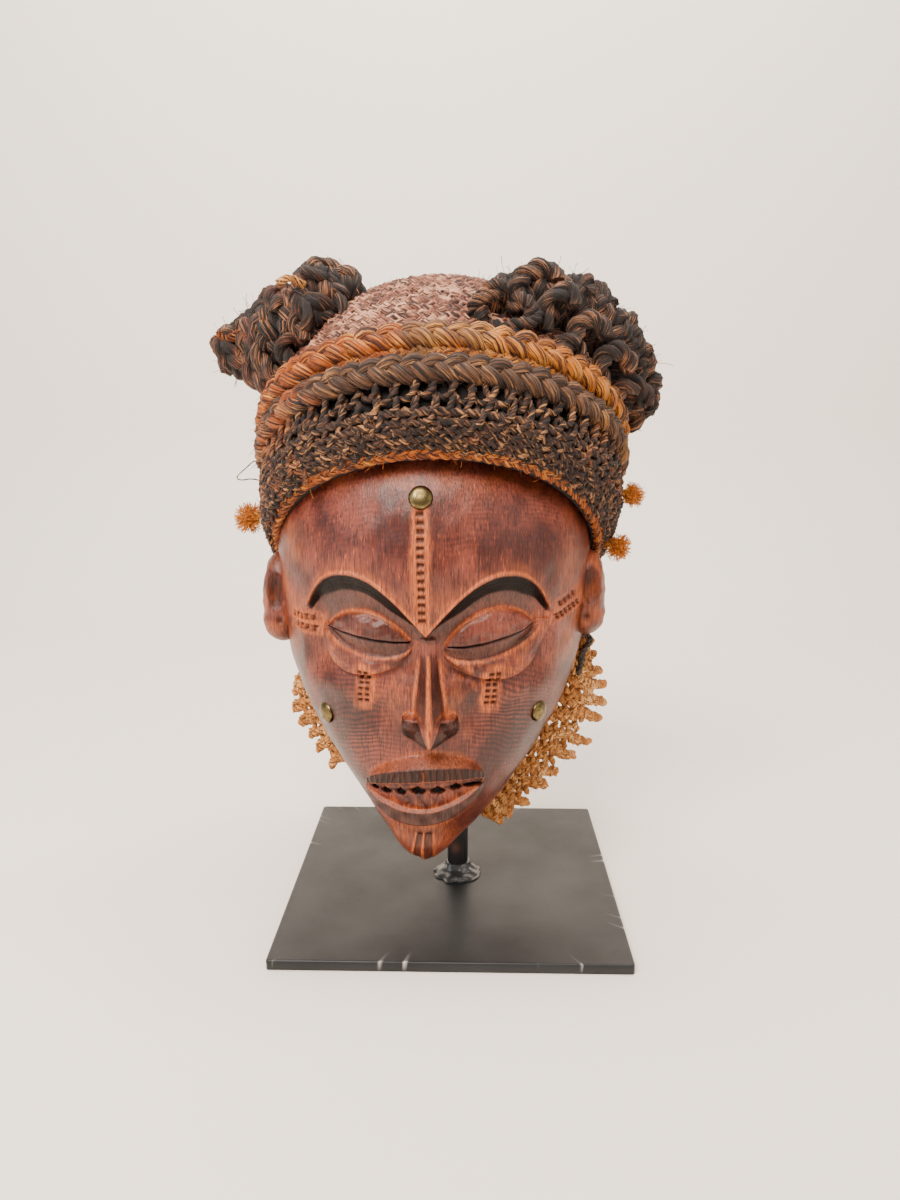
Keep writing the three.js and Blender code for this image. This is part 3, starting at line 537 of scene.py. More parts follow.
# Rows of small cuts: x and z at the row's start and end, its half width, its marks and their depth
SCARS = [
    (-4.1, 247.5, -3.2, 186.5, 2.1, 14, 1.3),
    (-39.4, 158, -39.8, 138, 1.35, 6, 1.2),
    (-35.7, 158, -36.3, 138, 1.35, 6, 1.2),
    (35.0, 158, 32.4, 137, 1.35, 6, 1.2),
    (38.8, 158, 36.2, 137, 1.35, 6, 1.2),
    (-80.5, 184.4, -68.5, 183.2, 2.0, 5, 1.3),
    (-78.5, 178.9, -68.5, 176.4, 2.0, 4, 1.3),
    (70.5, 184.6, 86, 190.8, 2.0, 6, 1.3),
    (72, 192.0, 83.5, 197.0, 1.9, 4, 1.3),
]
# Gaps between the filed teeth, painted black as the shade in them: x, z, half width, half height
TEETH_GAPS = [(-29.9, 88.6, 2.1, 1.5), (-24.1, 87.7, 3.0, 2.2), (-15.6, 88.6, 2.9, 2.5),
              (-6.2, 90.2, 4.3, 2.5), (4.5, 90.4, 4.3, 2.5), (14.2, 92.0, 3.4, 2.2), (22.8, 92.6, 5.2, 1.5)]


def fine_carving(x, z):
    """Small cuts on top of the main carving: how far out they go, and the tints of the surface."""
    side, eye_side = side_of(x), np.abs(x)
    out, ochre, soot_shade_and_sheen, dark = (np.zeros_like(x) for _ in range(4))
    worn = np.clip(0.5 + 0.45 * ripple(41, 7, 26, x, z * 0.7), 0, 1)
    nicked = ripple(42, 9, 6, x, z * 0.4)

    for x0, z0, x1, z1, half, marks, depth in SCARS:
        long = math.hypot(x1 - x0, z1 - z0)
        ux, uz = (x1 - x0) / long, (z1 - z0) / long
        s = (x - x0) * ux + (z - z0) * uz
        off = np.abs((x - x0) * uz - (z - z0) * ux)
        beat = (s / long * marks) % 1
        cut = within(off, -1, half - 0.3, 0.5) * within(s, 0, long - 0.3, 0.4)
        tooth = smooth(beat, 0.06, 0.3) * (1 - smooth(beat, 0.66, 0.8))
        out -= depth * cut * tooth
        dark += 0.85 * cut * tooth
        ochre += (0.7 if long > 40 else 0.4) * within(off, -1, half + 1.2, 1.6) * within(s, -2, long + 2, 3)

    # Brows: the cut edge stands up and holds a light line, the bevel under it is black with soot, and the
    # socket is grey with it down to the lid, with painted shade making it darker just under the brow
    edge, foot = brow_edge(side), band_foot(side)
    slit = slit_line(eye_side, x)
    top, low, bag = (lens(pair, eye_side, x) for pair in (UPPER_LIDS, LOWER_LIDS, EYE_BAGS))
    in_brow = 1 - smooth(side, BROW_END_X - 1, BROW_END_X + 2)
    out += 0.8 * bell(z, edge + 0.8, 1.1) * in_brow
    ochre += 1.0 * bell(z, edge + 1.2, 1.3) * in_brow + 0.4 * bell(z, edge + 4, 3) * in_brow * worn
    dark += 1.0 * within(z, foot + 0.2, edge - 0.7, 0.5) * in_brow * smooth(side, 0.5, 4)
    out += 0.2 * within(z, foot, edge - 1, 0.6) * np.sin((z - edge) * 2 * math.pi / 2.4) * in_brow
    lid_line = slit + np.where(top > 0.5, top, 0)
    # The socket's grey is painted darker just under the brow, as the shade the brow casts
    shade = 1 - 0.35 * smooth(foot - z, 2, 14)
    soot_shade_and_sheen += 0.75 * within(z, np.maximum(lid_line + 2.2, 172), foot, 1.2) * shade * (1 - smooth(side, 58, 66))

    # Eyes: a clay line round the lid, a grey tint as painted sheen on the upper lid, painted shade on the
    # lower lid, painted shadow lines at the feet of the lower lid and the bag, and the slit painted black as
    # the shade in it
    up = z - slit
    eye = top > 0.5
    slit_here = smooth(eye_side, 9.5, 12.5) * (1 - smooth(eye_side, 59, 62.5))
    ochre += 0.9 * bell(up, top + 0.6, 1.3) * eye + 0.5 * bell(eye_side, 64, 3.5) * bell(z, 181, 8)
    ochre += 0.65 * bell(up, -low - 1.6, 1.0) * (low > 0.5)
    in_bag = within(up, -bag + 1.5, -low - 1, 1.5) * (bag > 1.5)
    ochre += (0.28 * in_bag * smooth(worn + 0.35 * nicked, 0.5, 1.1)
              + 0.35 * bell(up, -bag - 0.6, 1.2) * (bag > 2) * worn)
    out += 0.2 * in_bag * ripple(6, 8, 3.5, x, z * 1.2)
    # Painted shade on the lower lid, under the upper one
    soot_shade_and_sheen += 0.7 * within(up, -low + 0.9, -0.8, 0.6) * (low > 0.8)
    # A grey tint on the upper lid, which stands for its sheen
    soot_shade_and_sheen += 0.25 * within(up, 1.5, top - 2.2, 1.2) * eye * (0.4 + 0.6 * worn)
    # Painted shadow lines at the foot of the lower lid and at the foot of the bag
    dark += 0.6 * bell(up, -low - 0.1, 0.7) * (low > 0.8) + 0.15 * bell(up, -bag - 1.8, 1.6) * (bag > 2)
    # The slit painted black, as the shade in its groove
    dark += 1.2 * within(up, -0.2, 1.0, 0.3) * slit_here
    out -= 1.8 * within(up, 0.0, 0.8, 0.25) * slit_here
    out += 0.3 * ripple(5, 6, 9, x, z * 1.3) * eye * within(up, 1.5, top - 1, 1)

    # The shadowed ledge on the inner side of the right eye's bag
    ledge = within(x, 13.5, 22, 3) * bell(z, 160 - 0.5 * (x - 12.5), 2.6)
    out -= 1.3 * ledge
    dark += 0.3 * ledge

    # Nose: a narrow ridge that ends in a point, side planes painted darker, clay along their feet and over
    # the wings, and a flat underside painted dark as shade, with a painted shadow line below it
    off = np.abs(x - nose_middle(z))
    bottom = nose_bottom(x)
    on_nose = within(z, NOSE_BOTTOM_Z + 1, NOSE_TOP_Z - 4, 1.5)
    strip = mix(1.25, 0.6, np.clip((z - NOSE_TIP_Z) / 45, 0, 1))
    strip = strip * smooth(z, NOSE_BOTTOM_Z - 1, NOSE_TIP_Z + 4)
    ridge = (1 - smooth(off, strip, strip + 0.7)) * on_nose
    out += 0.8 * ridge
    ochre += ridge
    flank = mix(8.6, 5.2, np.clip((z - 132) / 33, 0, 1))
    ochre += 0.85 * bell(off, flank + 1.1, 1.1) * within(z, 137, 163, 4)
    dark += 0.5 * within(off, strip + 0.8, flank - 0.5, 0.6) * within(z, 133, 166, 4)
    wing_rise = np.maximum(0, 1 - (np.abs(off - NOSTRIL_X) / 7.4) ** 2.6) ** 0.5
    wing_top = NOSTRIL_Z + NOSTRIL_HALF_HEIGHT * wing_rise
    under_top = 120.5 + 10.5 * smooth(off, 0.5, 6) + 0.12 * off
    ochre += 0.8 * bell(z, wing_top + 0.9, 1.0) * within(off, 4, 16, 1)
    ochre += 0.5 * bell(z, under_top + 0.7, 0.7) * within(off, 1, 7, 1)
    out -= 1.5 * within(z, bottom + 0.5, under_top, 0.8) * within(off, 1.5, 14.5, 1.2)
    under = within(z, bottom - 0.5, under_top, 0.6) * (1 - smooth(off, 15, 16.5))
    under = under * smooth(off, strip + 0.4, strip + 1.4)
    # The underside's grey and dark are painted shade
    soot_shade_and_sheen += 0.85 * under
    dark += (0.5 + 0.12 * nicked) * under
    # A painted shadow just under the nose's bottom edge
    dark += 0.8 * bell(z, bottom - 1.6, 1.5) * (1 - smooth(off, 13, 17))

    # Mouth: sooty lips scored across, clay above and below, and painted shade: black gaps between filed
    # teeth, the teeth darker under the upper lip, and a shadow line under the lower lip
    room = np.maximum(0, 1 - ((x - MOUTH_X) / MOUTH_HALF) ** 2)
    lip_top, lip_break = mouth_line(LIP_TOP, x), mouth_line(LIP_BREAK, x)
    open_top, open_foot = mouth_line(OPENING_TOP, x), mouth_line(OPENING_FOOT, x)
    lip_foot = mouth_line(LIP_FOOT, x)
    here = smooth(room, 0.0, 0.06)
    scored = np.sin(x * 2 * math.pi / 3.1 + nicked)
    band = within(z, open_top + 0.3, lip_break - 0.2, 0.5) * here
    soot_shade_and_sheen += 0.95 * band
    dark += (0.5 + 0.3 * smooth(scored, 0.2, 1)) * band
    out += 0.35 * within(z, lip_break - 6, lip_break - 0.5, 0.8) * scored * here
    ochre += 0.6 * bell(z, open_top + 0.1, 0.6) * here
    ochre += (0.25 + 0.3 * worn) * within(z, lip_break + 0.4, lip_top + 1.5, 1.2) * here
    soot_shade_and_sheen += 0.3 * within(z, lip_break + 0.4, lip_top - 2, 1.5) * here
    lower = within(z, lip_foot + 0.6, open_foot - 0.3, 0.4) * here
    soot_shade_and_sheen += 0.9 * lower
    dark += 0.22 * lower * (1 + nicked)
    ochre += 0.5 * bell(z, open_foot + 0.9, 0.8) * here + 0.6 * bell(z, lip_foot - 4, 2.6) * here
    # A painted shadow under the lower lip
    dark += 0.75 * bell(z, lip_foot - 1.2, 1.1) * here
    in_mouth = within(z, open_foot + 0.6, open_top - 0.6, 0.5) * here
    ochre += (0.12 + 0.2 * nicked) * in_mouth
    # Painted shade on the teeth just under the upper lip
    dark += 0.55 * in_mouth * smooth(z, open_top - 4.5, open_top - 0.5)
    hatch = smooth(np.cos((x + 0.5 * z) * 2 * math.pi / 7.3 + nicked), 0.8, 1.0)
    out -= 0.35 * in_mouth * hatch
    dark += 0.22 * in_mouth * hatch
    places = np.array(TEETH_GAPS)
    dark += 0.8 * bell(z, np.interp(x, places[:, 0], places[:, 1]) + 1.0, 0.7) * within(x, -31, 27, 1)
    # The gaps are painted black, as the shade in them
    for gap_x, gap_z, half, tall in TEETH_GAPS:
        across, over = np.abs(x - gap_x) / half, (z - gap_z) / tall
        gap = 1 - np.where(over > 0, across**0.8 + over, np.hypot(across, over))
        gap = smooth(gap, -0.1, 0.2)
        out -= 3.2 * gap
        dark += 1.3 * gap
    notch = bell(x, -2.6, 0.9) * within(z, open_top + 0.5, open_top + 6, 0.8)
    out -= 0.8 * notch
    ochre += 0.8 * notch
    soot_shade_and_sheen -= 0.7 * notch

    # Chin: two worn bars with a clay ridge between them, and a painted shadow in the cut at their top
    fall = np.clip((61.5 - z) / 20, 0, 1)
    bars = within(z, 30, 61.3, 0.6)
    for bar_x, half in ((mix(-4.15, -3.25, fall), 1.3), (mix(0.45, 1.6, fall), 1.7)):
        bar = within(np.abs(x - bar_x), -1, half, 0.5) * bars
        out -= 0.7 * bar
        soot_shade_and_sheen += 0.6 * bar
        # The dark line at the bars' top is painted shadow in the cut there
        dark += 0.1 * bar * (1 + nicked) + 0.6 * bell(z, 61.3, 0.9) * within(np.abs(x - bar_x), -1, half, 0.5)
        ochre += 0.7 * bell(np.abs(x - bar_x), half + 1.1, 0.6) * bars

    # Broad clay: temples, sides of the chin, beside the cheek cuts, below the eyes and between the brows
    for much, across, middle, reach, height, tall in (
            (0.8, eye_side, 80, 8, 195, 45), (0.5, x, -3, 30, 60, 14), (0.4, eye_side, 19, 8, 142, 16),
            (0.3, eye_side, 62, 10, 165, 9)):
        ochre += much * worn * bell(across, middle, reach) * bell(z, height, tall)
    for much, middle, foot_z, top_z in ((0.8, -32.6, 140, 157), (0.7, 30.6, 139, 156)):
        ochre += much * bell(x, middle, 1.6) * within(z, foot_z, top_z, 2)
    ochre += 0.35 * within(side, 3, 13, 4) * bell(z, 196, 12) * worn
    ochre += 0.5 * bell(np.abs(x + 3.9), 4.3, 1.3) * bell(z, 217, 34)
    ochre += 0.3 * worn * bell(z, 262, 7)
    ochre += 0.25 * np.clip(nicked, 0, 1) * bell(eye_side, 30, 26) * bell(z, 152, 18)
    soot_shade_and_sheen += 0.4 * bell(eye_side, 68, 13) * bell(z, 112, 22)
    soot_shade_and_sheen += 0.3 * (1 - worn) * bell(z, 128, 16) * smooth(eye_side, 25, 45)
    rings = bell(eye_side, 46, 26) * bell(z, 126, 30) + 0.3 * smooth(z, 215, 235) * worn
    rings = rings * (1 - np.clip(dark + 0.5 * soot_shade_and_sheen, 0, 1))

    # The marks of the knife, left by strokes about 9 mm long
    out += 0.16 * ripple(3, 7, 11, x, z * 0.6)
    return out, [np.clip(tint, 0, 1) for tint in (ochre, soot_shade_and_sheen, dark, rings)]


def carving_lines(x):
    """Heights that the rows of the skin follow across the face, each with the least gap and the number of
    rows up to the next."""
    side, eye = side_of(x), np.clip(np.abs(x), 12, 64)
    slit = slit_line(eye, x)
    lid, low, bag = (lens(pair, eye, x) for pair in (UPPER_LIDS, LOWER_LIDS, EYE_BAGS))
    level = 0 * x
    lip_foot, open_foot, open_top, lip_break, lip_top = (
        mouth_line(line, x, 0.08) for line in (LIP_FOOT, OPENING_FOOT, OPENING_TOP, LIP_BREAK, LIP_TOP))
    lines = [
        (CHIN_Z + level, 3, 20), (52 + level, 2, 14), (lip_foot - LIP_UNDERCUT, 1, 3), (lip_foot, 2, 13),
        (open_foot, 1, 3), (open_foot + LIP_STEP, 2, 24), (open_top - LIP_STEP, 1, 3), (open_top, 1, 12),
        (lip_break, 1, 8), (lip_top, 2, 7),
        (nose_bottom(x) - 3, 1, 6), (nose_bottom(x), 2, 9), (NOSTRIL_Z + level, 2, 10),
        (NOSTRIL_Z + NOSTRIL_HALF_HEIGHT + level, 2, 26),
        (slit - np.maximum(bag, low + 3) - 2 * EYE_STEP, 1, 3), (slit - np.maximum(bag, low + 3), 2, 13),
        (slit - np.maximum(low, 2), 2, 11), (slit, 1, 4), (slit + 2 * EYE_STEP, 2, 20),
        (slit + np.maximum(lid, 2), 2, 15), (band_foot(side), 2, 10), (brow_edge(side), 2, 42),
        (224 + level, 2, 24), (246 + level, 4, 16), (286 + level, 2, 6), (DOME_Z + level, 0, 1),
    ]
    heights, rows = [lines[0][0]], [lines[0][2]]
    for i in range(1, len(lines)):
        heights.append(np.maximum(lines[i][0], heights[-1] + 0.25 * lines[i - 1][1]))
        rows.append(lines[i][2])
    return heights, rows


def face_grid(columns):
    """Points of the carved front, row by row from chin to dome, and their tints."""
    across = np.linspace(-110, 110, 1761)
    heights, rows = carving_lines(across)
    levels = [mix(low, high, k / count)
              for low, high, count in zip(heights, heights[1:], rows) for k in range(count)]
    levels.append(heights[-1])
    t = np.linspace(-1, 1, columns)
    angle = np.tile(math.pi / 2 * (0.5 * t + 0.5 * t**3), (len(levels), 1))
    x = np.zeros_like(angle)
    for _ in range(6):
        z = np.array([np.interp(x[i], across, level) for i, level in enumerate(levels)])
        half, front, rim = shell_at(z)
        x = half * np.sin(angle)
    depth = rim - front
    fine, tints = fine_carving(x, z)
    out = carving(x, z) + fine * smooth(np.cos(angle), 0.02, 0.25)
    nx, ny = np.sin(angle) / half, -np.cos(angle) / depth
    long = np.hypot(nx, ny)
    skin_x, skin_y = x + lean_at(z) + out * nx / long, rim - depth * np.cos(angle) + out * ny / long
    return np.stack([skin_x, skin_y, z], -1), tints


def hollow_grid(rows, columns):
    """Points of the hollow behind the face, from its floor to its top."""
    z = mix(CHIN_Z + 14, DOME_Z - WALL, np.sin(math.pi / 2 * np.linspace(0, 1, rows)))[:, None]
    angle = np.linspace(-math.pi / 2, math.pi / 2, columns)[None, :]
    inset = WALL * mix(1.25, 1, np.clip((DOME_Z - z) / 40, 0, 1))
    half, front, rim = shell_at(z)
    a, depth = np.maximum(half - inset, 0.5), np.maximum(rim - front - inset, 0.5)
    gouge = 0.5 * ripple(21, 6, 16, a * np.sin(angle), z)
    x = a * np.sin(angle) + lean_at(z) + gouge * np.sin(angle) * np.cos(angle)
    return np.stack([x, rim - (depth + gouge) * np.cos(angle), z + 0 * angle], -1)


def zipped(first, second, points, centre):
    """Triangles between two loops of point numbers that both go round the centre, in x and z."""
    def turns(loop):
        offset = points[loop][:, [0, 2]] - centre
        around = np.unwrap(np.arctan2(offset[:, 1], offset[:, 0]))
        return np.append(around, around[0] + 2 * math.pi * np.sign(around[-1] - around[0]))
    a, b = turns(first), turns(second)
    b = b + 2 * math.pi * round((a[0] - b[0]) / (2 * math.pi))
    sign = np.sign(a[-1] - a[0])
    i = j = 0
    faces = []
    while i < len(first) or j < len(second):
        step_a = j == len(second) or (i < len(first) and sign * a[i + 1] <= sign * b[j + 1])
        here, other = first[i % len(first)], second[j % len(second)]
        if step_a:
            faces.append((here, first[(i + 1) % len(first)], other))
            i += 1
        else:
            faces.append((here, second[(j + 1) % len(second)], other))
            j += 1
    return faces


# An ear's half sizes, how far out it stands and the height of its middle, on the left and the right
EAR_HALF, EAR_OUT, EAR_MIDDLE_Z = (11.5, 18, 27.5), 92.5, {-1: 188, 1: 191.5}
EAR_ROWS, EAR_COLUMNS = 44, 56


def ear_points(side, rows, columns):
    """One ear: a broad oval plane with a bowl cut into its front, a hole under it and a thick lobe; the bowl
    and the hole are painted dark as shade.
    """
    down = np.linspace(0, math.pi, rows)[:, None]
    around = np.linspace(0, 2 * math.pi, columns, endpoint=False)[None, :]
    full = np.abs(np.sin(down)) ** 0.8
    x = EAR_HALF[0] * full * np.cos(around)
    y = EAR_HALF[1] * full * np.sin(around)
    z = EAR_HALF[2] * np.cos(down) + 0 * around
    lobe = bell(z, -20, 9)
    x, y = x * (1 + 0.2 * lobe), y * (1 + 0.05 * lobe) - 3 * lobe
    x = x + 0.4 * ripple(8 + side, 6, 11, y, z)
    middle = EAR_MIDDLE_Z[side]
    px, py, pz = side * EAR_OUT + x, 2 + y, middle + z * (1 if side < 0 else 0.94)
    in_bowl = np.maximum(0, 1 - ((px - side * 93.5) / 6.5) ** 2 - ((pz - middle - 6) / 13) ** 2)
    floor = -19 + 8 * np.sqrt(in_bowl)
    sunk = np.where((in_bowl > 0) & (py < floor), floor, py)
    hole = bell(px, side * 91.5, 1.8) * bell(pz, middle - 12, 2.6) * (y < 0)
    points = np.stack([px, sunk + 2.5 * hole, pz], -1)
    # The bowl and the hole are painted dark, as the shade in them
    dark = np.clip(0.6 * smooth(in_bowl, 0.02, 0.35) * (y < 0) + 0.9 * hole, 0, 1)
    return points, dark


def wood_face():
    """The whole carved piece: the front, the hollow behind it, the rim between them and both ears."""
    front, tints = face_grid(252)
    hollow = hollow_grid(40, 48)
    grids = (front, hollow)
    shapes = [made.shape[:2] for made in grids]
    starts = (0, shapes[0][0] * shapes[0][1])
    points = [made.reshape(-1, 3) for made in grids]
    faces = grid_faces(*shapes[0]) + [f[::-1] for f in grid_faces(*shapes[1], starts[1])]
    for made, (rows, columns), start, inner in zip(grids, shapes, starts, (False, True)):
        for row, is_low in ((0, True), (rows - 1, False)):
            centre = sum(len(p) for p in points)
            points.append(made[row].mean(0)[None, :])
            loop = list(range(start + row * columns, start + (row + 1) * columns))
            for a, b in zip(loop, loop[1:] + loop[:1]):
                faces.append((b, a, centre) if is_low != inner else (a, b, centre))
    whole = np.concatenate(points)

    def rim_loop(start, rows, columns):
        left = [start + i * columns for i in range(rows)]
        right = [start + i * columns + columns - 1 for i in range(rows)]
        return np.array(left + right[::-1])
    faces += zipped(rim_loop(0, *shapes[0]), rim_loop(starts[1], *shapes[1]), whole, np.array([0.0, 165.0]))

    inside = len(points[1])
    tint = {key: [values.ravel(), np.zeros(inside + 4)]
            for key, values in zip(("ochre", "soot_shade_and_sheen", "dark", "rings"), tints)}
    tint["raw"] = [np.zeros(starts[1]), np.ones(inside), [0, 0, 1, 1]]
    for side in (-1, 1):
        ear, bowl = ear_points(side, EAR_ROWS, EAR_COLUMNS)
        flat = ear.reshape(-1, 3)
        faces += grid_faces(EAR_ROWS, EAR_COLUMNS, len(whole), closed=True)
        whole = np.concatenate([whole, flat])
        tint["ochre"].append(np.clip(0.25 + 0.4 * ripple(31, 5, 16, *flat.T), 0, 1))
        tint["soot_shade_and_sheen"].append(np.clip(0.25 + 0.25 * ripple(32, 5, 20, *flat.T), 0, 1))
        tint["dark"].append(bowl.ravel())
        for key in ("rings", "raw"):
            tint[key].append(np.zeros(len(flat)))
    tint = {key: np.concatenate(values) for key, values in tint.items()}
    return settle(mesh_object("wood_face_carved", whole, faces, wood, tint), "carved_wood", "wood_face")


wood_face()


# Trees that make cords and fibre ends

def new_tree(name, sizes):
    """An empty tree with named inputs for its sizes."""
    tree = bpy.data.node_groups.new(name, "GeometryNodeTree")
    tree.interface.new_socket("Geometry", in_out="INPUT", socket_type="NodeSocketGeometry")
    for key, kind in sizes.items():
        tree.interface.new_socket(key, in_out="INPUT", socket_type="NodeSocket" + kind)
    tree.interface.new_socket("Geometry", in_out="OUTPUT", socket_type="NodeSocketGeometry")
    return tree, add(tree, "NodeGroupInput").node.outputs


def cord_tree():
    """Strands wound or plaited along a path, each a round or lobed thread. The path's points carry out, the
    way off the surface; turns and twist, how often the strands and each thread go round; and start, for the
    shade."""
    tree, size = new_tree("cord along a path", {
        "Strands": "Int", "Swing": "Float", "Lift": "Float", "Fold": "Float", "Lead": "Float",
        "Thread radius": "Float", "Sides": "Int", "Lobes": "Float", "Lobe depth": "Float",
        "Point spacing": "Float", "Wander": "Float", "Uneven": "Float", "Material": "Material"})
    maths, vector = "ShaderNodeMath", "ShaderNodeVectorMath"
    lines = add(tree, "GeometryNodeMeshToCurve", {"Mesh": size["Geometry"]})
    lines = add(tree, "GeometryNodeResampleCurve", {"Curve": lines, "Length": size["Point spacing"]},
                mode="LENGTH")
    copies = add(tree, "GeometryNodeDuplicateElements", {"Geometry": lines, "Amount": size["Strands"]},
                 domain="SPLINE")
    strand = copies.node.outputs["Duplicate Index"]
    kinds = {"out": "FLOAT_VECTOR", "turns": "FLOAT", "twist": "FLOAT", "start": "FLOAT"}
    path = {key: add(tree, "GeometryNodeInputNamedAttribute", {"Name": key}, data_type=kind)
            for key, kind in kinds.items()}
    along = add(tree, "GeometryNodeSplineParameter", take="Factor")

    # The strands swing from side to side and rise and sink as they go, each a share of a turn behind the last
    share = add(tree, maths, {0: strand, 1: size["Strands"]}, operation="DIVIDE")
    wound = add(tree, maths, {0: along, 1: path["turns"], 2: share}, operation="MULTIPLY_ADD")
    phase = add(tree, maths, {0: wound, 1: 2 * math.pi}, operation="MULTIPLY")
    folded = add(tree, maths, {0: phase, 1: size["Fold"], 2: size["Lead"]}, operation="MULTIPLY_ADD")
    tangent = add(tree, "GeometryNodeInputTangent")
    side = add(tree, vector, {0: tangent, 1: path["out"]}, operation="CROSS_PRODUCT")
    side = add(tree, vector, {0: side}, operation="NORMALIZE")
    moves = []
    for key, angle, way in (("Swing", phase, side), ("Lift", folded, path["out"])):
        wave = add(tree, maths, {0: angle}, operation="SINE")
        wave = add(tree, maths, {0: wave, 1: size[key]}, operation="MULTIPLY")
        moves.append(add(tree, vector, {0: way, "Scale": wave}, operation="SCALE"))
    offset = add(tree, vector, {0: moves[0], 1: moves[1]}, operation="ADD")

    # Each strand strays on its own, and is thicker and thinner, changing about every 7 mm
    place = add(tree, "GeometryNodeInputPosition")
    apart = add(tree, maths, {0: strand, 1: 3.7, 2: path["start"]}, operation="MULTIPLY_ADD")
    noise = add(tree, "ShaderNodeTexNoise", {"Vector": place, "W": apart, "Scale": 140.0, "Detail": 1.0},
                noise_dimensions="4D")
    stray = add(tree, vector, {0: noise.node.outputs["Color"], 1: (-0.5, -0.5, -0.5)}, operation="ADD")
    stray = add(tree, vector, {0: stray, "Scale": size["Wander"]}, operation="SCALE")
    offset = add(tree, vector, {0: offset, 1: stray}, operation="ADD")
    moved = add(tree, "GeometryNodeSetPosition", {"Geometry": copies, "Offset": offset})
    uneven = add(tree, maths, {0: noise, 1: -0.5}, operation="ADD")
    uneven = add(tree, maths, {0: uneven, 1: size["Uneven"], 2: 1.0}, operation="MULTIPLY_ADD")
    moved = add(tree, "GeometryNodeSetCurveRadius", {"Curve": moved, "Radius": uneven})
    tilt = add(tree, maths, {0: along, 1: path["twist"]}, operation="MULTIPLY")
    tilt = add(tree, maths, {0: tilt, 1: 2 * math.pi}, operation="MULTIPLY")
    moved = add(tree, "GeometryNodeSetCurveTilt", {"Curve": moved, "Tilt": tilt})
    # Shade changes about every 12 mm along a strand, and no two strands start alike
    shade = add(tree, maths, {0: along.node.outputs["Length"], 1: 80.0, 2: apart}, operation="MULTIPLY_ADD")
    moved = add(tree, "GeometryNodeStoreNamedAttribute", {"Geometry": moved, "Name": "along", "Value": shade},
                data_type="FLOAT", domain="POINT")

    # The thread's outline, a circle with lobes
    circle = add(tree, "GeometryNodeCurvePrimitiveCircle", {"Resolution": size["Sides"], "Radius": 1.0})
    place = add(tree, "GeometryNodeInputPosition")
    profile = add(tree, "GeometryNodeStoreNamedAttribute", {
        "Geometry": circle, "Name": "ring", "Value": place}, data_type="FLOAT_VECTOR", domain="POINT")
    lobe = add(tree, "GeometryNodeSplineParameter", take="Factor")
    for by in (size["Lobes"], 2 * math.pi):
        lobe = add(tree, maths, {0: lobe, 1: by}, operation="MULTIPLY")
    lobe = add(tree, maths, {0: lobe}, operation="COSINE")
    lobe = add(tree, maths, {0: lobe, 1: size["Lobe depth"], 2: 1.0}, operation="MULTIPLY_ADD")
    lobe = add(tree, maths, {0: lobe, 1: size["Thread radius"]}, operation="MULTIPLY")
    shaped = add(tree, vector, {0: place, "Scale": lobe}, operation="SCALE")
    profile = add(tree, "GeometryNodeSetPosition", {"Geometry": profile, "Position": shaped})

    radius = add(tree, "GeometryNodeInputRadius")
    tube = add(tree, "GeometryNodeCurveToMesh", {"Curve": moved, "Profile Curve": profile, "Scale": radius,
                                                 "Fill Caps": True})
    tube = add(tree, "GeometryNodeSetShadeSmooth", {"Geometry": tube})
    tube = add(tree, "GeometryNodeRealizeInstances", {"Geometry": tube})
    tube = add(tree, "GeometryNodeSetMaterial", {"Geometry": tube, "Material": size["Material"]})
    add(tree, "NodeGroupOutput", {0: tube})
    return tree


def fibre_end_tree():
    """Short bent fibres that stand out of a surface at random slants."""
    tree, size = new_tree("fibre ends on a surface", {
        "Density": "Float", "Length": "Float", "Thickness": "Float", "Slant": "Float", "Seed": "Int",
        "Material": "Material"})
    points = add(tree, "GeometryNodeDistributePointsOnFaces", {
        "Mesh": size["Geometry"], "Density": size["Density"], "Seed": size["Seed"]})
    bow = add(tree, "GeometryNodeCurveQuadraticBezier", {
        "Resolution": 4, "Start": (0, 0, -0.15), "Middle": (0.1, 0, 0.5), "End": (0.45, 0.1, 0.95)})
    profile = add(tree, "GeometryNodeCurvePrimitiveCircle", {"Resolution": 3, "Radius": size["Thickness"]})
    stalk = add(tree, "GeometryNodeSplineParameter", take="Factor")
    bow = add(tree, "GeometryNodeStoreNamedAttribute", {"Geometry": bow, "Name": "along", "Value": stalk},
              data_type="FLOAT", domain="POINT")
    fibre_end = add(tree, "GeometryNodeCurveToMesh", {
        "Curve": bow, "Profile Curve": profile, "Fill Caps": True})
    low = add(tree, "ShaderNodeCombineXYZ", {0: size["Slant"], 1: size["Slant"]})
    high = add(tree, "ShaderNodeCombineXYZ", {0: size["Slant"], 1: size["Slant"], 2: 6.28})
    back = add(tree, "ShaderNodeVectorMath", {0: low, "Scale": -1.0}, operation="SCALE")
    slant = add(tree, "FunctionNodeRandomValue", {0: back, 1: high, "Seed": size["Seed"]},
                data_type="FLOAT_VECTOR")
    bent = add(tree, "FunctionNodeEulerToRotation", {0: slant})
    bent = add(tree, "FunctionNodeRotateRotation", {0: points.node.outputs["Rotation"], 1: bent},
                 rotation_space="LOCAL")
    reach = add(tree, "FunctionNodeRandomValue", {"Min": 0.4, "Max": 1.0, "Seed": size["Seed"]}, 1,
                data_type="FLOAT")
    reach = add(tree, "ShaderNodeMath", {0: reach, 1: size["Length"]}, operation="MULTIPLY")
    placed = add(tree, "GeometryNodeInstanceOnPoints", {
        "Points": points, "Instance": fibre_end, "Rotation": bent, "Scale": reach})
    whole = add(tree, "GeometryNodeRealizeInstances", {"Geometry": placed})
    whole = add(tree, "GeometryNodeSetMaterial", {"Geometry": whole, "Material": size["Material"]})
    add(tree, "NodeGroupOutput", {0: whole})
    return tree


CORD, FIBRE_ENDS = cord_tree(), fibre_end_tree()


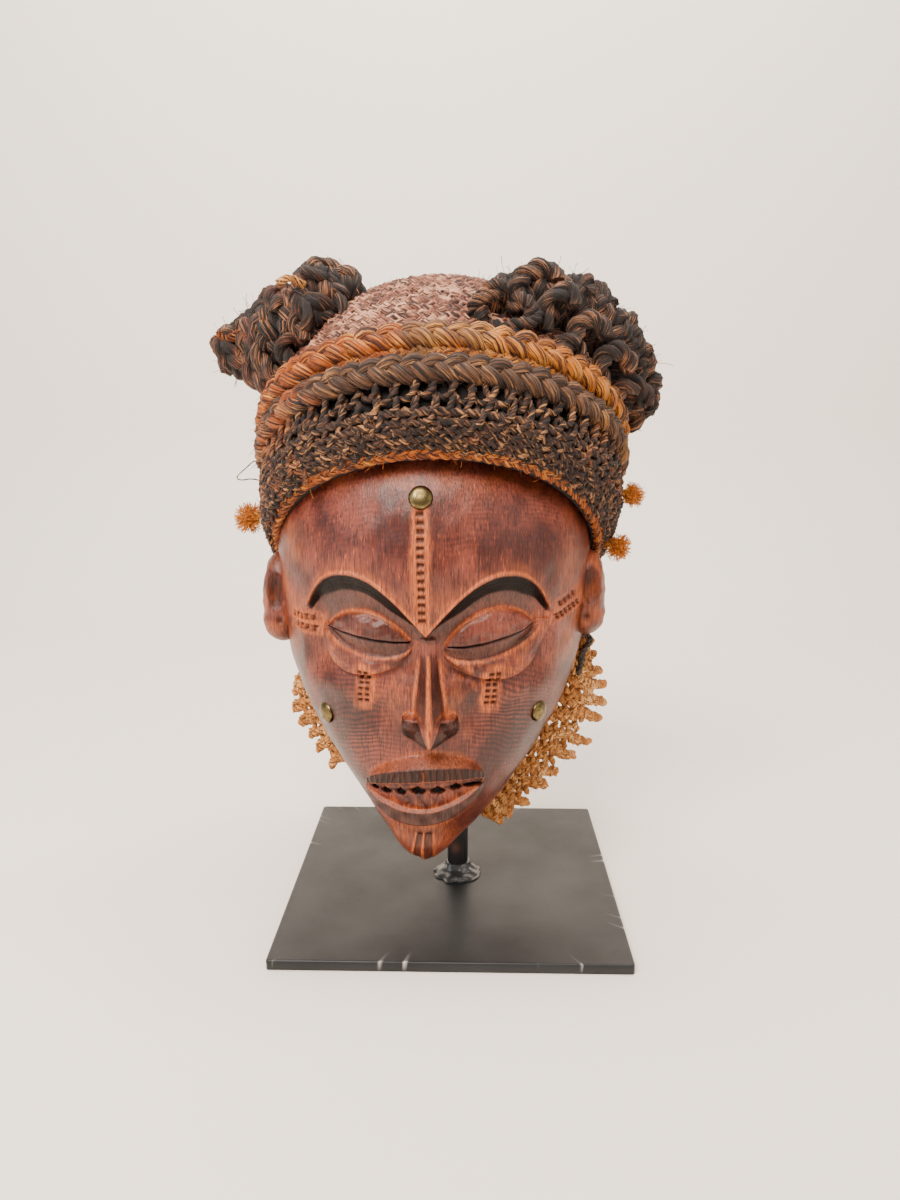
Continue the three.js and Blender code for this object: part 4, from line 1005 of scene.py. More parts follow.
def grown(name, source, tree, sizes):
    """The tree's result on a source object, as a plain mesh in a new object. The source is removed."""
    modifier = source.modifiers.new(name, "NODES")
    modifier.node_group = tree
    for item in tree.interface.items_tree:
        if item.in_out == "INPUT" and item.name in sizes:
            modifier[item.identifier] = sizes[item.name]
    view = bpy.context.evaluated_depsgraph_get()
    mesh = bpy.data.meshes.new_from_object(source.evaluated_get(view))
    bpy.data.objects.remove(source)
    mesh.name = name
    made = bpy.data.objects.new(name, mesh)
    bpy.context.collection.objects.link(made)
    return made


def cord_object(name, paths, material, radius, strands=1, swing=0.0, lift=0.0, fold=2.0, lead=0.0, sides=8,
                lobes=2, lobe_depth=0.14, spacing=1.8, wander=0.0, uneven=0.3):
    """Cords along paths, in millimetres. Each path is its points, their out directions, whether it is closed,
    and how many times its strands and its threads go round."""
    points, outs, turns, twists, starts, edges = [], [], [], [], [], []
    for number, (line, out, closed, turn, twist) in enumerate(paths):
        first, count = len(points), len(line)
        points += ((np.asarray(line) + [MASK_X, 0, 0]) / 1000).tolist()
        outs += np.asarray(out).tolist()
        turns += [turn] * count
        twists += [twist] * count
        starts += [number * 17.3] * count
        edges += [(first + i, first + i + 1) for i in range(count - 1)]
        if closed:
            edges.append((first + count - 1, first))
    mesh = bpy.data.meshes.new(name + " path")
    mesh.from_pydata(points, edges, [])
    mesh.attributes.new("out", "FLOAT_VECTOR", "POINT").data.foreach_set("vector", np.ravel(outs))
    for key, values in (("turns", turns), ("twist", twists), ("start", starts)):
        mesh.attributes.new(key, "FLOAT", "POINT").data.foreach_set("value", values)
    source = bpy.data.objects.new(name + " path", mesh)
    bpy.context.collection.objects.link(source)
    return grown(name, source, CORD, {
        "Strands": strands, "Swing": swing / 1000, "Lift": lift / 1000, "Fold": fold, "Lead": lead,
        "Thread radius": radius / 1000, "Sides": sides, "Lobes": float(lobes), "Lobe depth": lobe_depth,
        "Point spacing": spacing / 1000, "Wander": wander / 1000, "Uneven": uneven, "Material": material})


# Two threads twisted together, and the strands of a thick plait
TWISTED = {"strands": 2, "fold": 1.0, "lead": math.pi / 2}
THICK_PLAIT = {"strands": 3, "sides": 20, "lobes": 7, "lobe_depth": 0.1, "spacing": 1.7, "wander": 2.6,
               "uneven": 0.55}


def fuzz(name, surface, material, per_square_metre, length, thickness, slant, seed):
    """Fibre ends on a copy of a finished piece."""
    source = bpy.data.objects.new(name + " surface", surface.data.copy())
    bpy.context.collection.objects.link(source)
    return grown(name, source, FIBRE_ENDS, {
        "Density": per_square_metre, "Length": length / 1000, "Thickness": thickness / length, "Slant": slant,
        "Seed": seed, "Material": material})


def length_of(line, closed=False):
    """Length of a line of points."""
    line = np.asarray(line)
    ends = np.concatenate([line, line[:1]]) if closed else line
    return np.linalg.norm(np.diff(ends, axis=0), axis=1).sum()


def plaited(line, out, closed, turn_length, twist_length=40.0):
    """A path for a plait or rope whose strands go round once in each turn length."""
    long = length_of(line, closed)
    return (line, out, closed, max(1, round(long / turn_length)), round(long / twist_length))


def looping(line, out, closed, pitch, long, wide, deep, seed, loose, per_loop=10, twist_length=9.0):
    """A thread that travels along a line in loops, each one held by the last, as in knotless netting."""
    made = np.random.default_rng(seed)
    line, out = np.asarray(line), np.asarray(out)
    loops = max(2, round(length_of(line, closed) / pitch))
    count = loops * per_loop
    u = np.arange(count) / count if closed else np.linspace(0, 1, count)
    ends = np.concatenate([line, line[:1]]) if closed else line
    outs = np.concatenate([out, out[:1]]) if closed else out
    walked = np.append(0, np.cumsum(np.linalg.norm(np.diff(ends, axis=0), axis=1)))
    walked /= walked[-1]
    wide = np.broadcast_to(wide, (len(line),))
    wides = np.append(wide, wide[0]) if closed else wide

    def follow(values):
        return np.stack([np.interp(u, walked, v) for v in values.T], -1)
    base, normal = follow(ends), unit(follow(outs))
    if closed:
        tangent = unit(np.roll(base, -3, 0) - np.roll(base, 3, 0))
    else:
        tangent = unit(np.gradient(base, axis=0))
    side = unit(np.cross(tangent, normal))

    def per_loop_change(amount):
        knots = made.normal(size=loops + 1) * amount
        knots[-1] = knots[0]
        return np.interp(u * loops, np.arange(loops + 1), knots)
    phase = 2 * math.pi * loops * u + made.uniform(0, 6.28) + per_loop_change(loose)
    reach = np.interp(u, walked, wides) * (1 + per_loop_change(loose))
    forth = long * (1 + per_loop_change(loose))
    points = (base + tangent * (forth * np.sin(phase))[:, None] + side * (reach * np.cos(phase))[:, None]
              + normal * (deep * np.sin(phase) + per_loop_change(loose * deep))[:, None])
    return (points, normal, closed, 1, round(length_of(points, closed) / twist_length))


# Headdress

# How far the cap's edge dips at the sides, and is drawn in at the right temple and back at the forehead
CAP_DIP, CAP_DRAWN_IN, CAP_DRAWN_BACK = 2.0, 5.0, 4.0
CAP_ROWS = [
    # front y and z, half width, back y and z
    (-75, 276.5, 102, 98, 158), (-80, 287, 106, 108, 172), (-77, 302, 106, 114, 200),
    (-64, 324, 103, 112, 236), (-48, 340, 97, 102, 268), (-24, 358, 80, 84, 305), (2, 370.5, 54, 63, 340),
    (23, 374.5, 22, 40, 365),
]
NET_ROWS = (0.0, 0.12, 0.24, 0.37, 0.51, 0.66, 0.83, 1.02)


def cap_point(row, angle, proud=0.0):
    """A place on the cap: row from its edge to its crown, angle round from the front."""
    row, angle = np.broadcast_arrays(row, angle)
    front_y, front_z, half, back_y, back_z = np.moveaxis(along_rows(CAP_ROWS, row), -1, 0)
    s, c = np.sin(angle), np.cos(angle)
    middle_y, middle_z = (front_y + back_y) / 2, (front_z + back_z) / 2
    span = np.hypot(back_y - front_y, back_z - front_z) / 2
    # The edge is drawn in against the wood, at the forehead and at the right temple
    near_edge = 1 - smooth(row, 0, 0.3)
    front_y = front_y + CAP_DRAWN_BACK * near_edge
    half = half - CAP_DRAWN_IN * smooth(s, 0.4, 0.9) * near_edge
    k = 1 + proud / np.maximum(span, 10)
    rise = np.where(row > 0.55, proud * smooth(row, 0.55, 0.9), 0)
    dip = CAP_DIP * s * s * (1 - smooth(row, 0, 0.4))
    return np.stack([CAP_X + (half + proud) * s, middle_y + (front_y - middle_y) * k * c,
                     middle_z + (front_z - middle_z) * k * c - dip + rise], -1)


def cap_out(row, angle):
    """The way out of the cap at a place on it."""
    row = np.clip(row, 0.004, 0.996)
    along = cap_point(row, angle + 0.01) - cap_point(row, angle - 0.01)
    up = cap_point(row + 0.004, angle) - cap_point(row - 0.004, angle)
    normal = unit(np.cross(along, up))
    here = cap_point(row, angle)
    away = here - np.stack([np.full_like(here[..., 0], CAP_X), np.full_like(here[..., 0], 15),
                            here[..., 2] - 10], -1)
    return normal * np.sign((normal * away).sum(-1, keepdims=True))


def cap_ring(row, proud, count=180, reach=math.pi):
    """Points and out directions round the cap. The row may change with the angle."""
    closed = reach == math.pi
    angle = np.linspace(-reach, reach, count, endpoint=not closed)
    rows = row(angle) if callable(row) else np.full(count, row)
    return cap_point(rows, angle, proud), cap_out(rows, angle)


def lower_row(angle):
    """The row on the cap that the lower plait follows."""
    return 0.388 - 0.02 * np.sin(angle) ** 2


def upper_row(angle):
    """The row on the cap that the upper plait follows."""
    return 0.517 - 0.065 * np.sin(angle) ** 2


def cap_lining():
    """Dark inner layer under the stitches, closed round its edge, which paints the shade in the gaps between
    them.
    """
    rows, columns = 26, 96
    row = np.linspace(0.0, 1.0, rows)[:, None]
    angle = np.linspace(0, 2 * math.pi, columns, endpoint=False)[None, :]
    outer, inner = cap_point(row, angle, -3.0), cap_point(row, angle, -5.5)
    outer[-1, :, 2] -= 3
    inner[-1, :, 2] -= 5.5
    start = rows * columns
    faces = [f[::-1] for f in grid_faces(rows, columns, 0, True)] + grid_faces(rows, columns, start, True)
    for j in range(columns):
        k = (j + 1) % columns
        faces.append((j, k, start + k, start + j))
        faces.append((start - columns + k, start - columns + j, 2 * start))
        faces.append((2 * start - columns + j, 2 * start - columns + k, 2 * start + 1))
    points = np.concatenate([outer.reshape(-1, 3), inner.reshape(-1, 3), [outer[-1].mean(0)],
                             [inner[-1].mean(0)]])
    return outward(mesh_object("cap_lining", points, faces, sooty_ground_and_shade))


def net_row(share):
    """A row of the net, a share of the way from the cap's edge to the lower plait."""
    return lambda angle: mix(0.03, lower_row(angle) - 0.03, share)


def netted(first, last, pitch, long, tall, deep, seed):
    """Rows of looped thread, each row's loops reaching into the row above."""
    paths = []
    for i in range(first, last):
        low, high = NET_ROWS[i], NET_ROWS[i + 1]
        line, out = cap_ring(net_row((low + high) / 2), 0.8)
        spacing = np.linalg.norm(cap_ring(net_row(high), 0.8)[0] - cap_ring(net_row(low), 0.8)[0], axis=1)
        paths.append(looping(line, out, True, pitch, long, spacing * tall, deep, seed + i, 0.38, per_loop=11))
    return paths


def cap_net():
    """Rows of looped thread from the edge braid up to the lower plait, with a twisted cord laid in between
    the rows. The top ones stand open."""
    close = netted(0, 5, 8.4, 2.3, 0.56, 1.5, 40)
    bars = []
    for i in range(1, len(NET_ROWS) - 2):
        line, out = cap_ring(net_row(NET_ROWS[i]), 0.9)
        bars.append(plaited(line, out, True, 9.0))
    open_rows = netted(5, 7, 9.8, 2.8, 0.66, 1.3, 80)
    return (cord_object("cap_net", close, net_dark, 1.65, lobe_depth=0.22, spacing=2.1, wander=2.4,
                        uneven=0.5),
            cord_object("cap_net_cords", bars, net_dark, 1.5, **TWISTED, swing=1.4, lift=1.3, lobe_depth=0.18,
                        spacing=1.9, wander=1.6, uneven=0.5),
            cord_object("cap_net_open", open_rows, net_dark, 1.7, lobe_depth=0.2, spacing=1.7, wander=2.2,
                        uneven=0.5))


def crown_rows():
    """Rows of plaited stitches from the upper plait to the crown, and one between the plaits."""
    paths = []
    for share in np.linspace(0.0, 1.0, 14) ** 0.9:
        line, out = cap_ring(lambda angle, s=share: mix(upper_row(angle) + 0.035, 0.985, s), 0.2,
                             count=max(24, int(170 * (1 - 0.8 * share))))
        paths.append(plaited(line, out, True, 16.5, 26.0))
    # A last length lies across the top and closes it
    ends = cap_point(0.985, np.array([-1.35, 1.35]))
    across = mix(ends[:1], ends[1:], np.linspace(0, 1, 24)[:, None])
    paths.append(plaited(across, np.tile([0, -0.2, 1.0], (24, 1)), False, 16.5, 26.0))
    crown = cord_object("cap_crown", paths, crown_pink, 2.5, strands=3, swing=2.6, lift=1.5, lobes=3,
                        spacing=2.0, wander=2.0, uneven=0.5)
    between = []
    for share in (0.36, 0.62):
        line, out = cap_ring(lambda angle, s=share: mix(lower_row(angle), upper_row(angle), s), 1.0)
        between.append(plaited(line, out, True, 13.0, 26.0))
    return crown, cord_object("cap_between_plaits", between, plait_gold, 2.4, strands=3, swing=2.5, lift=1.3,
                              sides=10, lobes=4, wander=2.0, uneven=0.5)


def headband_plaits():
    """The two thick plaits over the net and the thin one at the cap's edge."""
    made = []
    for name, row, proud, turn_length, dye, radius, lift in (
            ("plait_lower_strands", lower_row, 2.5, 33, plait_grey, 4.1, 2.1),
            ("plait_upper_strands", upper_row, 4.0, 36, plait_gold, 4.4, 2.3)):
        line, out = cap_ring(row, proud, 260)
        made.append(cord_object(name, [plaited(line, out, True, turn_length)], dye, radius, swing=radius,
                                lift=lift, **THICK_PLAIT))
    # The edge braid pulls in against the wood at the temples
    line, out = cap_ring(0.01, 1.6, 200, reach=1.78)
    drawn_in = 1.2 + 2.4 * smooth(np.abs(line[:, 0] - CAP_X), 50, 88)
    line = line - out * drawn_in[:, None] - [0, 0, 1]
    made.append(cord_object("edge_braid_strands", [plaited(line, out, False, 17)], braid_orange, 2.0,
                            strands=3, swing=2.1, lift=1.0, sides=10, lobes=4, lobe_depth=0.12, spacing=1.3,
                            wander=1.6, uneven=0.5))
    return made


def path_frames(points, count):
    """Smooth path with two directions across it that don't twist."""
    line = along_rows(points, np.linspace(0, 1, count))
    tangent = unit(np.gradient(line, axis=0))
    normal = unit(np.cross(tangent[0], [0, 0, 1.0]))
    normals = []
    for t in tangent:
        normal = unit(normal - t * np.dot(normal, t))
        normals.append(normal)
    normals = np.array(normals)
    return line, tangent, normals, np.cross(tangent, normals)


def bun(name, points, radius, seed, loops):
    """A horn of matted rope: a thick plait wound round a dark core, with doubled-back ends tucked in over it,
    and large loops at its front."""
    count = 240
    line, tangent, normals, binormals = path_frames(points, count)
    t = np.linspace(0, 1, count)
    full = np.sqrt(np.maximum(0.03, 1 - np.abs(2 * t - 1) ** 4))
    turns = length_of(line) / 12.5
    u = np.linspace(0, 1, round(turns * 40))
    middle, n, b = (np.stack([np.interp(u, t, v) for v in values.T], -1)
                    for values in (line, normals, binormals))
    angle = (2 * math.pi * turns * u)[:, None]
    out = np.cos(angle) * n + np.sin(angle) * b
    lumps = 1.8 * ripple(seed, 6, 16, *middle.T, 6 * angle[:, 0])
    wound = middle + out * ((radius - 6.2) * np.interp(u, t, full) + lumps)[:, None]
    ropes = [cord_object(name + "_ropes", [plaited(wound, out, False, 31, 34)], bun_dark, 4.3, swing=4.2,
                         lift=2.3, **THICK_PLAIT | {"sides": 16, "spacing": 2.2, "wander": 3.0})]

    made = np.random.default_rng(seed)
    ends = []
    s = np.linspace(-1, 1, 16)[:, None]
    for _ in range(22):
        k, turn = int(made.uniform(0.06, 0.94) * count), made.uniform(0, 2 * math.pi)
        away = math.cos(turn) * normals[k] + math.sin(turn) * binormals[k]
        way = unit(np.cross(away, tangent[k]) * made.uniform(0.3, 1) + tangent[k] * made.uniform(-1, 1))
        bend = np.cross(way, away) * made.uniform(-5, 5)
        crest = line[k] + away * (radius * full[k] + 0.2)
        arc = crest + way * made.uniform(8, 12) * s + (bend - away * 5.5) * s**2
        ends.append((arc, np.tile(away, (16, 1)), False, 1, 1))
    for loop in loops:
        arc = along_rows(loop, np.linspace(0, 1, 8 * len(loop)))
        turns = max(1, round(length_of(arc) / 26))
        ends.append((arc, np.tile([0, -1.0, 0.1], (len(arc), 1)), False, turns, 1))
    ropes.append(cord_object(name + "_tucked_ends", ends, bun_dark, 3.2, **TWISTED, swing=2.4, lift=2.4,
                             sides=12, lobes=5, lobe_depth=0.12, spacing=1.6, wander=1.8, uneven=0.5))
    # The dark core shows between the ropes as painted shade
    steps, sides = 30, 20
    k = np.linspace(0, count - 1, steps).astype(int)
    reach = (radius - 6) * np.sqrt(np.maximum(0.0, 1 - np.abs(2 * t[k] - 1) ** 4))[:, None, None]
    around = np.linspace(0, 2 * math.pi, sides, endpoint=False)[None, :, None]
    spokes = np.cos(around) * normals[k][:, None] + np.sin(around) * binormals[k][:, None]
    places = line[k][:, None] + reach * spokes
    ropes.append(outward(mesh_object(name + "_core", places.reshape(-1, 3), grid_faces(steps, sides, 0, True),
                                     sooty_ground_and_shade)))
    return ropes


def loose_cord(name, points, material, radius, strands, swing, wander, sides, count=40):
    """A single cord or a loose wisp of fibres through a few points."""
    line = along_rows(points, np.linspace(0, 1, count))
    out = np.tile([0, -1.0, 0.05], (count, 1))
    turns = 0 if strands == 1 else max(1, round(length_of(line) / 26))
    return cord_object(name, [(line, out, False, turns, round(length_of(line) / 12))], material, radius,
                       **TWISTED | {"strands": strands}, swing=swing, lift=swing, sides=sides, lobes=3,
                       lobe_depth=0.15, spacing=1.3, wander=wander, uneven=0.4)


net_close, net_cords, net_open = cap_net()
crown, between = crown_rows()
net_ends = fuzz("cap_net_ends", net_close, net_dark, 3600, 9.0, 0.17, 1.1, 5)
crown_ends = fuzz("cap_crown_ends", crown, crown_pink, 1500, 6.0, 0.15, 1.1, 6)
for layer in (cap_lining(), net_close, net_cords, net_open, crown, between, net_ends, crown_ends):
    settle(layer, "dark_fibre", "cap")

lower_strands, upper_strands, edge_strands = headband_plaits()
for strands, slot_name, node, dye, seed in (
        (lower_strands, "tan_fibre", "plait_lower", plait_grey, 7),
        (upper_strands, "orange_fibre", "plait_upper", plait_gold, 8),
        (edge_strands, "orange_fibre", "edge_braid", braid_orange, 9)):
    settle(strands, slot_name, node)
    settle(fuzz(node + "_ends", strands, dye, 9000, 6.0, 0.14, 1.1, seed), slot_name, node)

LEFT_BUN = [(-126, 31, 332), (-103, 16, 340), (-80, 4, 347), (-64, 4, 359), (-51, 14, 369)]
RIGHT_BUN = [(27, -22, 350), (49, -14, 356), (73, -2, 355), (96, 12, 342), (114, 26, 322), (123, 37, 294)]
LEFT_LOOPS = [
    [(-114, 12, 334), (-109, 6, 321), (-98, -2, 313), (-83, -10, 309), (-65, -15, 313), (-52, -13, 323)],
    [(-116, 16, 340), (-111, 10, 329), (-99, 3, 321), (-85, -3, 318), (-71, -8, 320)],
    [(-104, 8, 328), (-97, -2, 321), (-83, -9, 319), (-68, -13, 322), (-60, -12, 333), (-66, -8, 343)],
    [(-101, 2, 345), (-101, -4, 332), (-92, -9, 319), (-74, -14, 314), (-57, -16, 321), (-46, -12, 332)],
    [(-116, 14, 324), (-123, 14, 328), (-125, 14, 338), (-118, 12, 346), (-108, 8, 343), (-106, 4, 332)],
    [(-97, 2, 347), (-101, 4, 353), (-99, 6, 360), (-92, 2, 364), (-84, -5, 361), (-81, -9, 353),
     (-87, -8, 347)],
    [(-78, 2, 367), (-75, 6, 375), (-64, 10, 380), (-50, 8, 377), (-43, 4, 367), (-44, -2, 354)],
    [(-71, -16, 337), (-76, -15, 349), (-69, -12, 358), (-57, -10, 360), (-48, -10, 352), (-52, -14, 340)],
    [(-80, -15, 323), (-84, -14, 333), (-80, -14, 341), (-71, -16, 343)],
]
RIGHT_LOOPS = [
    [(48, -34, 356), (46, -32, 364), (52, -28, 371), (63, -24, 374), (69, -24, 368)],
    [(63, -34, 341), (61, -36, 350), (65, -34, 358), (74, -30, 361), (78, -30, 354)],
    [(82, -28, 328), (78, -30, 337), (82, -28, 346), (91, -24, 347), (96, -22, 339)],
    [(97, -16, 313), (94, -20, 323), (99, -18, 331), (109, -12, 330), (112, -8, 321)],
    [(110, 0, 294), (105, -6, 305), (111, -4, 313), (122, 4, 312), (126, 10, 303)],
    [(74, -32, 319), (67, -35, 325), (70, -36, 333), (80, -32, 334)],
]
left_ropes = bun("bun_left", LEFT_BUN, 21, 100, LEFT_LOOPS)
right_ropes = bun("bun_right", RIGHT_BUN, 19.5, 200, RIGHT_LOOPS)
left_ropes.append(fuzz("bun_left_ends", left_ropes[0], bun_dark, 9000, 9.0, 0.17, 1.1, 11))
left_ropes.append(loose_cord("bun_left_gold_wisp", [(-86, -14, 368), (-79, -15, 371), (-71, -12, 367)],
                             collar_gold, 0.7, 5, 1.6, 2.0, 5))
left_ropes.append(loose_cord("bun_left_red_wisp", [(-128, 12, 344), (-121, 8, 340), (-113, 4, 343)],
                             braid_orange, 0.8, 6, 2.2, 3.0, 5))
right_ropes.append(fuzz("bun_right_ends", right_ropes[0], bun_dark, 9000, 9.0, 0.17, 1.1, 12))
# A thick rope bent back on itself in an open loop at the front of the right bun
right_ropes.append(loose_cord("bun_right_loop", [
    (39.3, -40, 363), (30.9, -42, 359), (25.2, -42, 350), (31.1, -42, 341.3), (42.8, -42, 339.8),
    (53.2, -41, 344.8), (55.2, -38, 351.9), (47.8, -36, 355), (41.5, -33, 352.5)],
    bun_dark, 3.5, 2, 2.3, 1.2, 16, 80))
right_ropes.append(loose_cord("bun_right_orange_wisp", [
    (43.8, -45, 333.9), (58.6, -41, 328.8), (74.6, -33, 322.1), (91, -20, 306.6), (103.3, -6, 288.2)],
    plait_gold, 0.6, 8, 2.2, 4.0, 5, 60))
for rope in left_ropes:
    settle(rope, "dark_fibre", "bun_left")
for rope in right_ropes:
    settle(rope, "dark_fibre", "bun_right")


# Net collar, tassels and stray fibres

def collar_point(side, rows, t, v):
    """A place on the collar: t along the jaw from its top, v from the jaw's rim outwards."""
    z, reach, hang = np.moveaxis(along_rows(rows, t), -1, 0)
    half, _, rim = shell_at(z)
    slant = math.pi / 6
    x = half + 1.2 + reach * v * math.cos(slant)
    y = rim - 1 + reach * v * math.sin(slant)
    return np.stack([side * (x + 0 * t), y + 0 * t, z - hang * v + 0 * t], -1)


def collar(node, side, rows, fingers, bands, wide, droop, knot_size, seed):
    """Chains of knotted golden loops from the rim outwards, tied to each other near the wood, each one ending
    in a knot that droops. Bands are where the ties lie between the rim and the tips."""
    chains, stubs, ties, knots = [], [], [], []
    out = np.array([side * 0.5, -0.87, 0])
    made = np.random.default_rng(seed)
    for i in range(fingers):
        t = (i + 0.5 + 0.2 * made.uniform(-1, 1)) / fingers
        tip = 0.98 + 0.06 * made.uniform(-1, 1)
        v = np.linspace(0.03, 0.9, 30)
        line = collar_point(side, rows, np.full(30, t) + 0.008 * np.sin(v * 9 + i), v)
        if length_of(line) > 7:
            chains.append(looping(line, np.tile(out, (30, 1)), False, 5.4, 2.3, wide * (1 - 0.2 * v), 1.8,
                                  seed + i, 0.2, twist_length=7))
        v = np.linspace(0.5, tip, 12)
        line = collar_point(side, rows, np.full(12, t), v)
        line[:, 2] += 1.2 * np.sin(v * 5 + i) - droop * (v - 0.5)
        stubs.append((line, np.tile(out, (12, 1)), False, max(1, round(length_of(line) / 7)), 1))
        knots.append(line[-1])
    for i, v in enumerate(bands):
        t = np.linspace(0.02, 0.985, 90)
        line = collar_point(side, rows, t, np.full(90, v))
        ties.append(looping(line, np.tile(out, (90, 1)), False, 6.4, 2.4, 2.3, 1.9, seed + 50 + i, 0.3,
                            twist_length=7))
    net = cord_object(node + "_loops", chains + ties, collar_gold, 1.75, lobe_depth=0.2, spacing=1.3,
                      wander=1.2, uneven=0.4)
    ends = cord_object(node + "_stubs", stubs, collar_gold, 1.8, **TWISTED, swing=1.3, lift=1.2,
                       lobe_depth=0.16, spacing=1.2, wander=0.6, uneven=0.4)
    pieces = [net, ends, fuzz(node + "_ends", net, collar_gold, 9000, 4.0, 0.14, 1.1, seed)]
    pieces += [ball(node + f"_knot_{i}", knot, knot_size, collar_gold, seed + i, 0.2)
               for i, knot in enumerate(knots)]
    for piece in pieces:
        settle(piece, "net_fibre", node)


def ball(name, centre, radii, material, seed, lumps):
    """A lumpy rounded knot, closed at both poles."""
    rows, columns = 14, 18
    down = np.linspace(0, math.pi, rows)[:, None]
    around = np.linspace(0, 2 * math.pi, columns, endpoint=False)[None, :]
    wide = np.sin(down)
    way = np.stack([wide * np.cos(around), wide * np.sin(around), np.cos(down) + 0 * around], -1)
    swell = 1 + lumps * ripple(seed, 6, 1.4, *np.moveaxis(way, -1, 0))
    points = np.asarray(centre) + way * swell[..., None] * np.asarray(radii)
    return outward(mesh_object(name, points.reshape(-1, 3), grid_faces(rows, columns, 0, True), material))


def tassel(node, start, middle, tip, radius, tuft, seed):
    """A frayed cord end: a short twisted stem and a ball of cut fibres."""
    line = along_rows([start, middle, tip], np.linspace(0, 1, 14))
    out = np.tile([0, -1.0, 0], (14, 1))
    stem = cord_object(node + "_stem", [(line, out, False, 2, 1)], collar_gold, radius * 0.62, **TWISTED,
                       swing=radius * 0.5, lift=radius * 0.5, spacing=1.0, wander=0.6)
    head = ball(node + "_heart", tip, (tuft * 0.6, tuft * 0.5, tuft * 0.6), collar_gold, seed, 0.2)
    brush = fuzz(node + "_brush", head, tassel_gold, 2.6e6, tuft * 0.9, 0.3, 0.7, seed)
    for piece in (stem, head, brush):
        settle(piece, "net_fibre", node)


# From the top down: height on the jaw, how far the net reaches out, and how far its tip hangs below
RIGHT_COLLAR = [(160, 6, 0), (146, 15, 4), (130, 30, 9), (112, 38, 11), (94, 33, 13), (78, 25, 14),
                (64, 18, 12), (56, 12, 9)]
LEFT_COLLAR = [(134, 4, 0), (118, 16, 2), (106, 17, 3), (94, 16, 4), (85, 11, 4)]
collar("net_collar_right", 1, RIGHT_COLLAR, 13, (0.06, 0.25, 0.44, 0.62), 2.4, 0, (3.1, 2.7, 2.8), 300)
collar("net_collar_left", -1, LEFT_COLLAR, 6, (0.1, 0.45), 1.5, 9, (2.4, 2.1, 2.7), 340)
tassel("tassel_left", (-104, 14, 238), (-109, 13, 237), (-114, 12, 234), 2.4, 7.0, 401)
tassel("tassel_right_upper", (108, 16, 249), (115, 15, 250), (121, 14, 249), 2.2, 5.5, 402)
tassel("tassel_right_lower", (103, 8, 221), (107, 7, 220), (112, 6, 218), 2.4, 6.2, 403)

# A knotted grey cord that hangs behind the right ear, and brown strands and a bent fibre at the cap's sides
hanging = [(96.2, 169.4), (94.5, 163), (97.8, 157.8), (94.2, 151.3), (92.5, 144.1), (90.8, 136.9)]
settle(loose_cord("knotted_cord", [(x, 14, z) for x, z in hanging], cord_grey, 1.3, 2, 0.9, 1.0, 8, 50),
       "net_fibre", "net_collar_right")
for number, (x, z) in enumerate(hanging):
    settle(ball(f"knotted_cord_knot_{number}", (x, 14, z), (2.3, 2.1, 2.0), cord_grey, 90 + number, 0.22),
           "net_fibre", "net_collar_right")
settle(loose_cord("cap_bent_fibre", [
    (-106, 20, 262), (-111.3, 25, 268.6), (-117.7, 25, 264.2), (-123.6, 25, 258.7), (-121.2, 25, 256.8),
    (-114.3, 25, 257.4), (-104, 22, 256)], net_dark, 0.4, 1, 0.0, 0.3, 5), "dark_fibre", "cap")
settle(loose_cord("cap_brown_strands", [(112.8, 38, 290), (117.7, 40, 275), (115.2, 40, 258), (110, 36, 244)],
                  braid_orange, 0.7, 4, 1.6, 3.0, 5), "dark_fibre", "cap")


# Tacks and stand

def turned(profile, segments, axis, foot):
    """Points and faces of a shape turned round an axis from a profile of radius and height."""
    axis = unit(np.array(axis, float))
    first = unit(np.cross(axis, [0.3, 0.2, 1.0] if abs(axis[2]) < 0.9 else [1.0, 0, 0]))
    second = np.cross(axis, first)
    around = np.linspace(0, 2 * math.pi, segments, endpoint=False)[None, :, None]
    radius, height = np.array(profile, float).T
    spoke = np.cos(around) * first + np.sin(around) * second
    points = np.array(foot) + radius[:, None, None] * spoke + height[:, None, None] * axis
    return points, grid_faces(len(profile), segments, 0, True)


TACK_RADIUS, TACK_LIP, TACK_RISE, TACK_SEGMENTS = 6.3, 0.5, 2.4, 40


def tack(node, x, z):
    """A low domed tack, square to the wood, with a dark line round its rim, of wax and dirt and of painted
    shade where it meets the wood.
    """
    half, front, rim = shell_at(z)
    slope = math.asin(x / half)
    fall = (shell_at(z + TACK_RADIUS)[1] - shell_at(z - TACK_RADIUS)[1]) / (2 * TACK_RADIUS)
    normal = unit(np.array([math.sin(slope) / half, -math.cos(slope) / (rim - front), 0]))
    normal[2] = -fall * normal[1]
    foot = (x, rim - (rim - front) * math.cos(slope), z)
    dome = [(TACK_RADIUS * math.cos(a), TACK_LIP + TACK_RISE * math.sin(a))
            for a in np.linspace(0, math.pi / 2, 12)[:-1]]
    profile = [(0.01, -1.5), (TACK_RADIUS, -1.5), (TACK_RADIUS + 0.15, 0.0)]
    profile += dome + [(0.01, TACK_LIP + TACK_RISE)]
    points, faces = turned(profile, TACK_SEGMENTS, normal, foot)
    # Dirt and painted shade along the tack's edge and foot
    tint = np.repeat([0, 1, 1, 0.9, 0.35] + [0] * (len(profile) - 5), TACK_SEGMENTS)
    made = outward(mesh_object(node + "_dome", points.reshape(-1, 3), faces, tack_brass, {"rim": tint}))
    settle(made, "brass_tack", node)


tack("tack_forehead", -3.7, 254)
tack("tack_left_cheek", -61, 126.5)
tack("tack_right_cheek", 62.3, 128)


